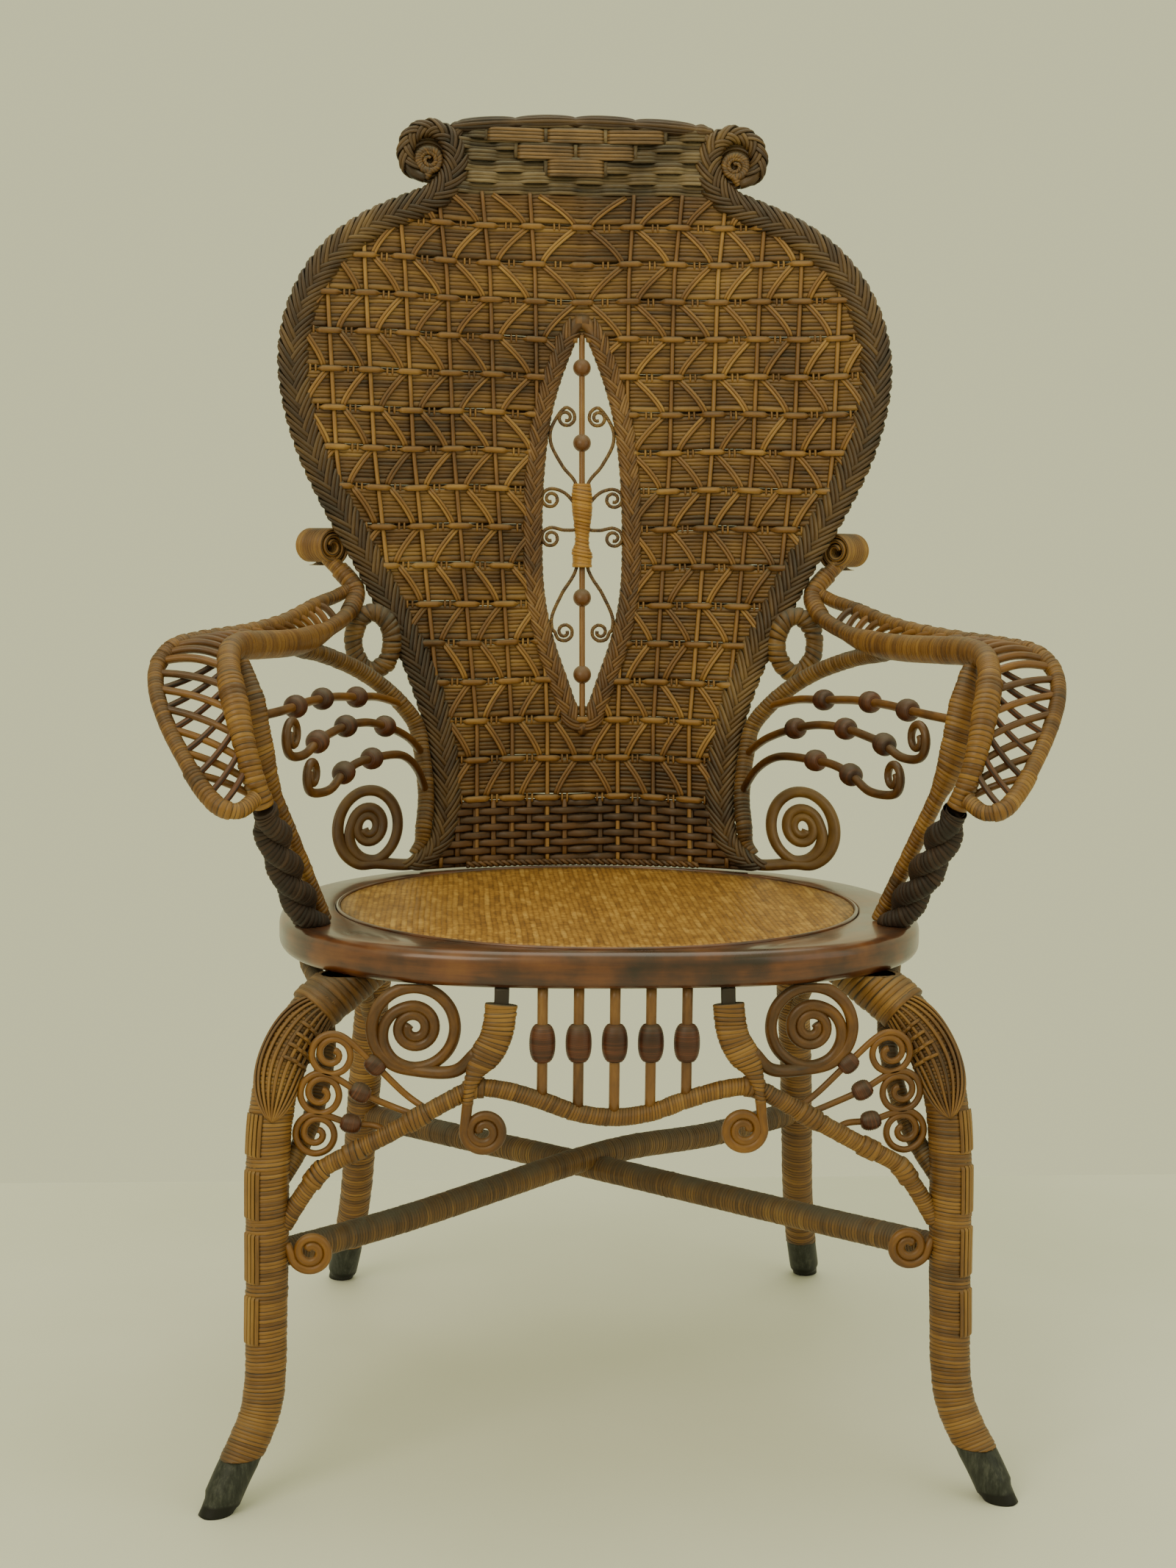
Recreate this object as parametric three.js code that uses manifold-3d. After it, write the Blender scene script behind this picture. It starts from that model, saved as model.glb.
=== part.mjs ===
// Wicker armchair with a fiddle-shaped back, in millimetres.
// X runs to the viewer's right, Y towards the back, Z up from the floor.
import * as THREE from 'three';
import { mergeVertices } from 'three/addons/utils/BufferGeometryUtils.js';
import Module from 'manifold-3d';

const wasm = await Module();
wasm.setup();

// Fits between pieces
const clearance = 0.36;
const bite = 5;
const workSpan = 3000;
const weld = 0.0005;

// Seat ring, its cane panel and the strip that wedges it
const seatHeight = 415;
const seatThickness = 28;
const seatHalfWidth = 263;
const seatFrontReach = 231;
const seatRearReach = 235;
const seatMiddle = 15;
const seatSquarenessShare = 2.7;
const seatEdgeRound = 9;
const caneHalfWidth = 207;
const caneHalfDepth = 199;
const caneMiddle = 10;
const caneLand = 5;
const caneThickness = 1.6;
const grooveWidth = 6;
const grooveDepth = 7;

// Legs and their ferrules
const frontFootSpread = 294;
const frontFootReach = 237;
const backFootSpread = 229;
const backFootReach = 284;
const frontLegInset = 24;
const backLegInset = 18;
const kneeRadius = 18;
const ankleRadius = 14;
const backLegRadius = 15.5;
const legTenonRadius = 8;
const tenonLength = 15;
const ferruleHeight = 38;
const ferruleRadius = 14;
const ferruleWall = 1.4;
const ferruleFloor = 3;

// Stretchers and side braces
const stretcherRadius = 9;
const stretcherRise = 10;
const stretcherStep = 9;
const braceRadius = 7.5;

// Apron between the front legs
const apronInset = 13;
const railRadius = 6.8;
const bracketHalfWidth = 10.5;
const bracketHalfDepth = 6.5;
const bracketPoleRadius = 5;
const bracketStandOff = 7;
const dropScrollRadius = 15;
const dropScrollEye = 4.4;
const dropCaneRadius = 2.9;
const apronScrollRadius = 31;
const apronScrollEye = 5;
const apronScrollPole = 4.9;
const apronScrollTip = 3.4;
const apronScrollInset = 26;
const curlRadius = 15.3;
const curlEye = 3.2;
const curlCaneRadius = 2.25;
const curlBeadRadius = 6.8;
const curlPlane = 190.5;
const spindleCount = 5;
const spindleSpacing = 27;
const spindleRadius = 3.6;
const spindleBeadRadius = 9.5;
const spindleBeadLength = 27;
const legScrollRadius = 14.5;
const legScrollEye = 4;
const legScrollCane = 3.1;
const legScrollReach = 203;

// Back, drawn flat and then bent to its lean and its hollow
const backHeight = 710;
const backHalfWidth = 268;
const backFootDepth = 221;
const backCrestDepth = 355;
const hollowHalfWidth = 140;
const footHollow = 35;
const crestHollow = 14;
const weaveFront = 1.7;
const weaveBack = 4.9;
const stakeFront = -0.4;
const stakeBack = 7.2;
const stakeHalfWidth = 3;
const stakeSwellHalf = 7;
const rowFoot = 64;
const rowRise = 35.8;
const rowBandHalfHeight = 4.4;
const rowBandHalfDepth = 2.9;
const pegRadius = 3;
const pegLength = 9;
const pegReach = 90;
const braidHalfWidth = 14;
const braidHalfDepth = 8.5;
const braidStandOff = 4;
const baseScrollRadius = 35;
const baseScrollEye = 5.5;
const baseScrollPole = 4.7;
const baseScrollTip = 3.6;
const baseScrollSpreadShare = 0.735;
const baseScrollRiseShare = 1.257;
const crestBorderRadius = 7;
const crestArch = 9;
const voluteEyeRadius = 12.4;
const voluteEyeEnd = 4;
const voluteCane = 2.7;
const voluteSpreadShare = 0.545;
const voluteRiseShare = 0.935;

// Almond slit in the back, with its braid and fretwork
const slitHalfWidth = 46.5;
const slitFoot = 131;
const slitHead = 498;
const slitBraidHalfWidth = 9;
const slitBraidHalfDepth = 7.5;
const slitRodRadius = 3;
const slitBeadRadius = 7.8;
const slitCane = 2;
const slitCurlRadius = 8.6;
const slitCurlEye = 3;
const bindingRadius = 8.5;
const bindingWaist = 6.6;

// Arms
const armSpread = 344;
const armReach = 190;
const armHeight = 220;
const armRailRadius = 7.2;
const armRailHalfHeight = 11.5;
const armRailHalfWidth = 9;
const wingRadius = 5.4;
const latticeRadius = 2.1;
const innerPostRadius = 6.6;
const innerPostHalfWidth = 12;
const innerPostHalfDepth = 7.5;
const twistPostRadius = 14.5;
const twistPostWaist = 10.5;
const twistTurns = 2.2;
const postTenonRadius = 5;
const postInset = 17;
const twistFootReach = 91;
const innerFootReach = 71;
const innerPostInset = 31;
const rollRadius = 14.5;
const rollEye = 5.6;
const rollBand = 3.6;
const rollLength = 38;
const rollRiseShare = 1.341;
const ringHalfWidth = 17.5;
const ringHalfHeight = 26;
const ringRadius = 7.4;
const stayRadius = 7.6;
const armCaneRadius = 3.3;
const armBeadRadius = 9.4;
const upperCurlRadius = 16;
const lowerCurlRadius = 14;
const armCurlEye = 4.6;

// Mesh fineness
const poleSides = 7;
const scrollSides = 6;
const caneSides = 5;
const ribSides = 4;
const seatSides = 36;

// A bead's swelling: distance from its middle in radii, and how full it is there.
const beadShares = [
  [-1, 0],
  [-0.72, 0.68],
  [0, 1],
  [0.72, 0.68],
  [1, 0],
];

// Directions
const sideways = new THREE.Vector3(1, 0, 0);
const backwards = new THREE.Vector3(0, 1, 0);
const upwards = new THREE.Vector3(0, 0, 1);

const seatBottom = seatHeight - seatThickness;

// Heights of what stands between the floor and the seat ring, as shares of the ring's underside
const stretcherHeightShare = 0.47;
const legScrollHeightShare = 0.483;
const railFootHeightShare = 0.506;
const braceFootHeightShare = 0.581;
const spindleBeadHeightShare = 0.8915;
const stretcherHeight = seatBottom * stretcherHeightShare;
const legScrollHeight = seatBottom * legScrollHeightShare;
const braceFootHeight = seatBottom * braceFootHeightShare;
const spindleBeadHeight = seatBottom * spindleBeadHeightShare;
const quarterTurn = Math.PI / 2;
const fullTurn = Math.PI * 2;

function point(x, y, z) {
  return new THREE.Vector3(x, y, z);
}

function mix(from, to, share) {
  return from + (to - from) * share;
}

// Solids are joined and cut as manifolds and handed on as three.js geometry.
function asSolid(geometry) {
  const bare = geometry.clone();
  bare.deleteAttribute('normal');
  bare.deleteAttribute('uv');
  const merged = mergeVertices(bare, weld);
  const vertProperties = new Float32Array(merged.attributes.position.array);
  const triVerts = new Uint32Array(merged.index.array);
  return new wasm.Manifold(new wasm.Mesh({ numProp: 3, vertProperties, triVerts }));
}

function asGeometry(solid) {
  const mesh = solid.getMesh();
  const geometry = new THREE.BufferGeometry();
  geometry.setAttribute('position', new THREE.BufferAttribute(mesh.vertProperties, 3));
  geometry.setIndex(new THREE.BufferAttribute(mesh.triVerts, 1));
  return geometry;
}

function joined(...solids) {
  return solids.reduce((whole, solid) => whole.add(solid));
}

function cutBy(solid, ...others) {
  return others.reduce((rest, other) => rest.subtract(other), solid);
}

// The same solid on the other side of the chair.
function mirrored(solid) {
  const geometry = asGeometry(solid);
  geometry.scale(-1, 1, 1);
  const index = geometry.index.array;
  for (let corner = 0; corner < index.length; corner += 3) {
    const kept = index[corner + 1];
    index[corner + 1] = index[corner + 2];
    index[corner + 2] = kept;
  }
  return asSolid(geometry);
}

function movedSolid(solid, change) {
  const geometry = asGeometry(solid);
  const place = geometry.attributes.position;
  for (let i = 0; i < place.count; i += 1) {
    const moved = change(point(place.getX(i), place.getY(i), place.getZ(i)));
    place.setXYZ(i, moved.x, moved.y, moved.z);
  }
  return asSolid(geometry);
}

// A level layer between two heights, wide enough to cut any piece.
function layer(low, high) {
  const block = new THREE.BoxGeometry(workSpan, workSpan, high - low);
  block.translate(0, 0, (low + high) / 2);
  return asSolid(block);
}

// A pole along a route. Its half sizes are given for each point of the route, and it can twist.
class PoleRoute extends THREE.Curve {
  constructor(points, halfWides, halfDeeps, facing, twist) {
    super();
    this.line = new THREE.CatmullRomCurve3(points);
    this.halfWides = halfWides;
    this.halfDeeps = halfDeeps;
    this.facing = facing;
    this.twist = twist;
  }

  getPoint(share, target) {
    return this.line.getPoint(share, target);
  }

  getSpacedPoints(steps) {
    return this.line.getPoints(steps);
  }

  sizeAt(sizes, share) {
    const place = share * (sizes.length - 1);
    const before = Math.min(Math.floor(place), sizes.length - 2);
    return mix(sizes[before], sizes[before + 1], place - before);
  }

  computeFrenetFrames(steps) {
    const frames = { tangents: [], normals: [], binormals: [] };
    for (let i = 0; i <= steps; i += 1) {
      const share = i / steps;
      const tangent = this.line.getTangent(share);
      const deep = this.facing.clone().addScaledVector(tangent, -this.facing.dot(tangent)).normalize();
      deep.applyAxisAngle(tangent, this.twist * fullTurn * share);
      const wide = deep.clone().cross(tangent).normalize();
      frames.tangents.push(tangent);
      frames.normals.push(wide.multiplyScalar(this.sizeAt(this.halfWides, share)));
      frames.binormals.push(deep.multiplyScalar(this.sizeAt(this.halfDeeps, share)));
    }
    return frames;
  }
}

function sectionShape(sides) {
  const corners = [];
  for (let i = 0; i < sides; i += 1) {
    const angle = (fullTurn * (i + 0.5)) / sides;
    corners.push(new THREE.Vector2(Math.cos(angle), Math.sin(angle)));
  }
  return new THREE.Shape(corners);
}

function pole(points, radius, options = {}) {
  const sides = options.sides ?? poleSides;
  const fineness = options.fineness ?? 1;
  const facing = options.facing ?? backwards;
  const grown = options.grown ?? 0;
  const wides = (Array.isArray(radius) ? radius : [radius, radius]).map((size) => size + grown);
  const deepSizes = options.deep ?? (Array.isArray(radius) ? radius : [radius, radius]);
  const deeps = deepSizes.map((size) => size + grown);
  const extrudePath = new PoleRoute(points, wides, deeps, facing, options.twist ?? 0);
  const steps = (points.length - 1) * fineness;
  return asSolid(new THREE.ExtrudeGeometry(sectionShape(sides), { steps, extrudePath, bevelEnabled: false }));
}

// Points of a flat scroll. Across and rise are the two directions of its plane.
// It stays at its full radius for the held share of its length and then draws in evenly.
function scrollPoints(centre, across, rise, outer, eye, startAngle, turns, perTurn, squash = 1, held = 0) {
  const points = [];
  const count = Math.round(Math.abs(turns) * perTurn);
  for (let i = 0; i <= count; i += 1) {
    const share = i / count;
    const angle = startAngle + turns * fullTurn * share;
    const reach = mix(outer, eye, Math.max(share - held, 0) / (1 - held));
    points.push(
      centre
        .clone()
        .addScaledVector(across, reach * Math.cos(angle) * squash)
        .addScaledVector(rise, reach * Math.sin(angle)),
    );
  }
  return points;
}

function taper(from, to, count) {
  return Array.from({ length: count }, (unused, i) => mix(from, to, i / (count - 1)));
}

// The least air between one turn of a scroll and the next.
function leastGap(name, points, radii) {
  let least = workSpan;
  const finePoints = new THREE.CatmullRomCurve3(points).getPoints(points.length * 4);
  const radiusAt = (i) => radii[Math.min(Math.round((i / finePoints.length) * (radii.length - 1)), radii.length - 1)];
  for (let i = 0; i < finePoints.length; i += 1) {
    let run = 0;
    for (let j = i + 1; j < finePoints.length; j += 1) {
      run += finePoints[j].distanceTo(finePoints[j - 1]);
      const apart = finePoints[i].distanceTo(finePoints[j]);
      if (run > apart * Math.SQRT2) {
        least = Math.min(least, apart - radiusAt(i) - radiusAt(j));
      }
    }
  }
  console.log(`least gap between turns of ${name}: ${least.toFixed(2)} mm`);
}

// A cane with beads: each listed point of the route swells into a bead.
function beadedCane(points, radii, places, beadRadius, options) {
  const route = [];
  const sizes = [];
  points.forEach((place, i) => {
    if (!places.includes(i)) {
      route.push(place);
      sizes.push(radii[i]);
      return;
    }
    const along = points[i + 1].clone().sub(points[i - 1]).normalize();
    for (const [offset, size] of beadShares) {
      route.push(place.clone().addScaledVector(along, offset * beadRadius));
      sizes.push(mix(radii[i], beadRadius, size));
    }
  });
  return pole(route, sizes, options);
}

// Seat outline: fuller than an ellipse in front, a plain ellipse behind.
function seatEdge(angle, inset = 0) {
  const cosine = Math.cos(angle);
  const sine = Math.sin(angle);
  if (sine >= 0) {
    return new THREE.Vector2((seatHalfWidth - inset) * cosine, seatMiddle + (seatRearReach - inset) * sine);
  }
  const power = 2 / seatSquarenessShare;
  const across = (seatHalfWidth - inset) * Math.sign(cosine) * Math.abs(cosine) ** power;
  return new THREE.Vector2(across, seatMiddle - (seatFrontReach - inset) * Math.abs(sine) ** power);
}

// Half width of the seat at a given depth.
function seatHalfWidthAt(depth, inset = 0) {
  const behind = depth > seatMiddle;
  const reach = (behind ? seatRearReach : seatFrontReach) - inset;
  const power = behind ? 2 : seatSquarenessShare;
  const share = Math.min(Math.abs(depth - seatMiddle) / reach, 1);
  return (seatHalfWidth - inset) * (1 - share ** power) ** (1 / power);
}

// An upright elliptic plate round the middle of the cane.
function caneDisc(spare, low, high) {
  const disc = new THREE.CylinderGeometry(1, 1, high - low, seatSides);
  disc.rotateX(quarterTurn);
  disc.scale(caneHalfWidth + spare, caneHalfDepth + spare, 1);
  disc.translate(0, caneMiddle, (low + high) / 2);
  return asSolid(disc);
}

function upright(x, y, radius, low, high, sides = poleSides) {
  const pin = new THREE.CylinderGeometry(radius, radius, high - low, sides);
  pin.rotateX(quarterTurn);
  pin.translate(x, y, (low + high) / 2);
  return asSolid(pin);
}

const grooveOuter = caneLand + grooveWidth;
const underSeat = layer(-workSpan / 2, seatBottom - clearance);
const aboveSeat = layer(seatHeight + clearance, workSpan / 2);
const aboveFloor = layer(0, workSpan);

// Leg routes run from the tenon in the seat to the foot on the floor.
// Each row is the share of the way out, the share of the way forwards or back, and the share of the height.
const frontLegShares = [
  [-0.05, -0.04, 1.015],
  [0.13, 0.06, 0.977],
  [0.38, 0.22, 0.922],
  [0.55, 0.39, 0.848],
  [0.625, 0.5, 0.755],
  [0.65, 0.55, 0.659],
  [0.655, 0.585, 0.556],
  [0.657, 0.608, 0.439],
  [0.663, 0.639, 0.336],
  [0.667, 0.68, 0.245],
  [0.698, 0.732, 0.176],
  [0.779, 0.804, 0.121],
  [0.884, 0.897, 0.067],
  [1, 1, 0],
  [1.04, 1.03, -0.022],
];
const backLegShares = [
  [-0.02, -0.02, 1.015],
  [0.08, 0.03, 0.93],
  [0.17, 0.08, 0.85],
  [0.35, 0.24, 0.65],
  [0.5, 0.437, 0.44],
  [0.63, 0.627, 0.26],
  [0.8, 0.825, 0.12],
  [1, 1, 0],
  [1.04, 1.04, -0.022],
];
const frontLegDepth = -0.67 * seatFrontReach + seatMiddle;
const backLegDepth = 0.615 * seatRearReach + seatMiddle;
const frontLegTop = point(seatHalfWidthAt(frontLegDepth, frontLegInset), frontLegDepth, seatBottom);
const backLegTop = point(seatHalfWidthAt(backLegDepth, backLegInset), backLegDepth, seatBottom);
const frontFoot = point(frontFootSpread, -frontFootReach, 0);
const backFoot = point(backFootSpread, backFootReach, 0);

function legPoints(top, foot, shares) {
  return shares.map(([out, along, height]) => {
    return point(mix(top.x, foot.x, out), mix(top.y, foot.y, along), seatBottom * height);
  });
}

// The point of a leg's centre line at a given height.
function legAt(points, height) {
  const line = new THREE.CatmullRomCurve3(points).getPoints(points.length * 8);
  const below = line.findIndex((place) => place.z <= height);
  const share = (line[below - 1].z - height) / (line[below - 1].z - line[below].z);
  return line[below - 1].clone().lerp(line[below], share);
}

const frontLegLine = legPoints(frontLegTop, frontFoot, frontLegShares);
const backLegLine = legPoints(backLegTop, backFoot, backLegShares);

function legSolid(line, top, thick, thin, grown = 0) {
  const count = line.length;
  const tipLine = line.slice(count - 5);
  const shaftSpan = layer(ferruleHeight - grown, seatBottom - clearance + grown);
  const shaft = pole(line, taper(thick, thin, count), { grown }).intersect(shaftSpan);
  const tipRadius = ferruleRadius - ferruleWall - clearance;
  const tipSpan = layer(ferruleFloor + clearance - grown, ferruleHeight + bite);
  const tip = pole(tipLine, tipRadius, { grown }).intersect(tipSpan);
  const tenon = upright(top.x, top.y, legTenonRadius + grown, seatBottom - bite, seatBottom + tenonLength + grown);
  return joined(shaft, tip, tenon);
}

const legKinds = [
  { name: 'front', line: frontLegLine, top: frontLegTop, thick: kneeRadius, thin: ankleRadius },
  { name: 'back', line: backLegLine, top: backLegTop, thick: backLegRadius, thin: ankleRadius },
];
for (const kind of legKinds) {
  kind.solid = legSolid(kind.line, kind.top, kind.thick, kind.thin);
  kind.grown = legSolid(kind.line, kind.top, kind.thick, kind.thin, clearance);
  const cup = pole(kind.line.slice(kind.line.length - 5), ferruleRadius);
  kind.ferrule = cutBy(cup.intersect(layer(0, ferruleHeight - clearance)), kind.grown);
}
const [frontLeg, backLeg] = legKinds;

// Apron rail: from inside one front leg, up its arch, down to the dip in the middle and back.
const railFoot = legAt(frontLegLine, seatBottom * railFootHeightShare);
const apronFront = seatMiddle - seatFrontReach + apronInset;
const railShares = [
  [0.96, 0.522],
  [0.92, 0.568],
  [0.879, 0.61],
  [0.841, 0.643],
  [0.784, 0.666],
  [0.723, 0.687],
  [0.595, 0.734],
  [0.466, 0.783],
  [0.402, 0.803],
  [0.326, 0.8],
  [0.216, 0.78],
  [0.106, 0.754],
  [0, 0.745],
];

function apronPoint([across, height], standOff = 0) {
  const x = railFoot.x * across;
  const y = mix(apronFront, railFoot.y, across * across) - standOff;
  return point(x, y, seatBottom * height);
}

const railHalf = railShares.map((row) => apronPoint(row));
const railOther = railHalf.slice(0, -1).map((place) => point(-place.x, place.y, place.z)).reverse();
const railLine = [...railHalf, ...railOther];

function railSolid(grown = 0) {
  return pole(railLine, railRadius, { grown });
}

const bothFrontLegs = joined(frontLeg.grown, mirrored(frontLeg.grown));
const bothBackLegs = joined(backLeg.grown, mirrored(backLeg.grown));
const apronRail = cutBy(railSolid(), bothFrontLegs);
const railGrown = railSolid(clearance);

// C-shaped bracket: its pole passes in front of the rail and ends in the drop scroll below it.
const bracketShares = [
  [0.326, 1.02],
  [0.328, 0.965],
  [0.343, 0.905],
  [0.375, 0.866],
  [0.402, 0.835],
  [0.418, 0.8],
];
const dropScrollShare = [0.376, 0.723];
const dropStart = scrollPoints(
  apronPoint(dropScrollShare, bracketStandOff),
  sideways,
  upwards,
  dropScrollRadius,
  dropScrollEye,
  quarterTurn / 4,
  -1.8,
  10,
);
const bracketLine = [
  ...bracketShares.map((row, i) => apronPoint(row, (bracketStandOff * i) / (bracketShares.length - 1))),
  ...dropStart,
];

function bracketSolid(grown = 0) {
  const wides = [bracketHalfWidth, bracketHalfWidth, bracketHalfWidth, bracketHalfWidth, bracketPoleRadius * 1.4];
  const deeps = [bracketHalfDepth, bracketHalfDepth, bracketHalfDepth, bracketHalfDepth, bracketPoleRadius];
  const scroll = taper(bracketPoleRadius * 0.8, dropCaneRadius, dropStart.length + 1);
  return pole(bracketLine, [...wides, ...scroll], { deep: [...deeps, ...scroll], grown, sides: scrollSides });
}

const apronBracket = cutBy(bracketSolid().intersect(underSeat), railGrown);
const bracketGrown = bracketSolid(clearance);

// Big scroll beside the bracket, tucked under the seat ring.
const apronScrollCentre = point(
  railFoot.x * 0.578,
  seatMiddle - seatFrontReach + apronScrollInset,
  seatBottom - apronScrollRadius - apronScrollPole * 0.45,
);
const scrollTurns = scrollPoints(
  apronScrollCentre,
  sideways,
  upwards,
  apronScrollRadius + apronScrollPole * 0.2,
  apronScrollEye,
  -quarterTurn,
  2.1,
  12,
);
const apronScrollLine = [apronPoint([0.4, 0.875], bite), apronPoint([0.46, 0.835], bite), ...scrollTurns];
apronScrollLine[1].y = mix(apronScrollLine[0].y, apronScrollCentre.y, 0.5);
const apronScrollRadii = taper(apronScrollPole, apronScrollTip, apronScrollLine.length);
leastGap('the apron scroll', scrollTurns, apronScrollRadii);

function apronScrollSolid(grown = 0) {
  return pole(apronScrollLine, apronScrollRadii, { grown, sides: scrollSides });
}

const apronScroll = cutBy(apronScrollSolid().intersect(underSeat), bracketGrown, railGrown);
const apronScrollGrown = apronScrollSolid(clearance);

// Three beaded canes in each corner. Their curls stand on one another beside the leg.
const cornerRowShares = [
  { root: [0.53, 0.757], knee: [0.6, 0.783], bead: [0.69, 0.842] },
  { root: [0.56, 0.747], knee: [0.64, 0.76], bead: [0.733, 0.788] },
  { root: [0.64, 0.712], knee: [0.69, 0.722], bead: [0.76, 0.727] },
];
const firstCurlShare = 0.864;
const curlSeat = curlRadius * 2 + curlCaneRadius * 0.15;

function curlCentre(height) {
  const leg = legAt(frontLegLine, height);
  return point(leg.x - kneeRadius - curlRadius - curlCaneRadius * 0.56, -curlPlane, height);
}

// The centre of the curl that stands just under another.
function curlBelow(upper) {
  let drop = curlSeat;
  for (let pass = 0; pass < 4; pass += 1) {
    const lower = curlCentre(upper.z - drop);
    drop *= curlSeat / lower.distanceTo(upper);
  }
  return curlCentre(upper.z - drop);
}

const curlCentres = [curlCentre(seatBottom * firstCurlShare)];
cornerRowShares.slice(1).forEach(() => curlCentres.push(curlBelow(curlCentres[curlCentres.length - 1])));
const cornerLines = cornerRowShares.map((row, i) => {
  const centre = curlCentres[i];
  const onPlane = ([across, share]) => point(railFoot.x * across, -curlPlane, seatBottom * share);
  const root = apronPoint(row.root);
  const curl = scrollPoints(centre, sideways, upwards, curlRadius, curlEye, quarterTurn * 1.25, -1.6, 8, 1, 0.33);
  return { line: [root, onPlane(row.knee), onPlane(row.bead), ...curl], curl };
});
leastGap('the corner curls', cornerLines[0].curl, [curlCaneRadius, curlCaneRadius]);

function cornerSolid(grown = 0) {
  const canes = cornerLines.map(({ line }) => {
    const radii = line.map(() => curlCaneRadius);
    return beadedCane(line, radii, [2], curlBeadRadius, { sides: caneSides, grown });
  });
  return joined(...canes);
}

const cornerCurls = cutBy(cornerSolid(), frontLeg.grown, railGrown, apronScrollGrown);

// Height of the rail's centre line at a distance from the middle.
function railHeightAt(across) {
  const outside = railHalf.findLastIndex((place) => place.x >= across);
  const outer = railHalf[outside];
  const inner = railHalf[Math.min(outside + 1, railHalf.length - 1)];
  return inner === outer ? inner.z : mix(inner.z, outer.z, (across - inner.x) / (outer.x - inner.x));
}

// Beaded spindles between the seat ring and the dip of the rail.
function spindleSolid(x, grown = 0) {
  const half = spindleBeadLength / 2;
  const rod = spindleRadius + grown;
  const full = spindleBeadRadius + grown;
  const neck = mix(rod, full, 0.55);
  const top = seatBottom + tenonLength / 2 + grown;
  const foot = railHeightAt(Math.abs(x));
  const profile = [
    [0, foot],
    [rod, foot],
    [rod, spindleBeadHeight - half],
    [neck, spindleBeadHeight - half * 0.82],
    [full, spindleBeadHeight - half * 0.25],
    [full, spindleBeadHeight + half * 0.25],
    [neck, spindleBeadHeight + half * 0.82],
    [rod, spindleBeadHeight + half],
    [rod, top],
    [0, top],
  ];
  const turned = new THREE.LatheGeometry(profile.map(([r, z]) => new THREE.Vector2(r, z)), poleSides);
  turned.rotateX(quarterTurn);
  turned.translate(x, apronFront, 0);
  return asSolid(turned);
}

const spindlePlaces = Array.from({ length: spindleCount }, (unused, i) => {
  return (i - (spindleCount - 1) / 2) * spindleSpacing;
});

// Stretchers cross under the seat. The second passes under the first in a shallow notch.
const stretcherShares = [0, 0.2, 0.38, 0.5, 0.57, 0.64, 0.8, 1];
const riseShares = [0, 0, 0.5, 0.9, 1, 0.9, 0.1, 0];

function stretcherSolid(side, drop, grown = 0) {
  const front = legAt(frontLegLine, stretcherHeight);
  const back = legAt(backLegLine, stretcherHeight);
  const line = stretcherShares.map((share, i) => {
    const rise = riseShares[i] * (stretcherRise - drop);
    return point(side * mix(front.x, -back.x, share), mix(front.y, back.y, share), stretcherHeight + rise);
  });
  return pole(line, stretcherRadius, { facing: upwards, grown, fineness: 2 });
}

const allLegs = joined(bothFrontLegs, bothBackLegs);
const stretcherOver = cutBy(stretcherSolid(-1, 0), allLegs);
const stretcherUnder = cutBy(stretcherSolid(1, stretcherStep), allLegs, stretcherSolid(-1, 0, clearance));
const stretchersGrown = joined(stretcherSolid(-1, 0, clearance), stretcherSolid(1, stretcherStep, clearance));

// Flat scroll at the front end of each stretcher, against the leg.
const legScrollCentre = legAt(frontLegLine, legScrollHeight);
legScrollCentre.x -= ankleRadius + legScrollRadius + legScrollCane;
legScrollCentre.y = -legScrollReach;
const legScrollLine = scrollPoints(
  legScrollCentre,
  sideways,
  upwards,
  legScrollRadius,
  legScrollEye,
  0,
  -1.5,
  11,
);
leastGap('the leg scroll', legScrollLine, [legScrollCane, legScrollCane]);
const legScrollStart = legScrollLine[0].clone().add(point(bite / 2, bite / 2, bite));
const legScroll = cutBy(
  pole([legScrollStart, ...legScrollLine], legScrollCane, { sides: scrollSides }),
  frontLeg.grown,
  stretchersGrown,
);

// Side brace: an arch from the front leg up to the seat ring and down to the back leg.
const braceFront = legAt(frontLegLine, braceFootHeight);
const braceBack = legAt(backLegLine, braceFootHeight);
const braceTop = seatBottom - braceRadius + 0.6 * clearance;
const braceShares = [
  [0, 0],
  [0.05, 0.3],
  [0.12, 0.66],
  [0.22, 0.92],
  [0.34, 1],
  [0.62, 1],
  [0.76, 0.9],
  [0.87, 0.62],
  [0.95, 0.3],
  [1, 0],
];
const braceLine = braceShares.map(([along, height]) => {
  const y = mix(braceFront.y, braceBack.y, along);
  const leg = mix(braceFront.x, braceBack.x, along);
  const ring = mix(seatHalfWidth, caneHalfWidth + grooveOuter, 0.5) * seatHalfWidthAt(y) / seatHalfWidth;
  return point(mix(leg, ring, height), y, mix(braceFootHeight, braceTop, height));
});

function braceSolid(grown = 0) {
  return pole(braceLine, braceRadius, { facing: sideways, grown, fineness: 1 });
}

const sideBrace = cutBy(braceSolid().intersect(underSeat), frontLeg.grown, backLeg.grown);

// The back is drawn flat: X across, Z up from the seat, Y from its front face. Then it is bent.
function backDepth(x, height) {
  const share = height / backHeight;
  const hollow = mix(footHollow, crestHollow, Math.min(Math.max(share, 0), 1));
  return mix(backFootDepth, backCrestDepth, share) - hollow * (x / hollowHalfWidth) ** 2;
}

function bentPoint(place) {
  return point(place.x, place.y + backDepth(place.x, place.z), place.z + seatHeight);
}

function bent(solid) {
  return movedSolid(solid, bentPoint);
}

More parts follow.
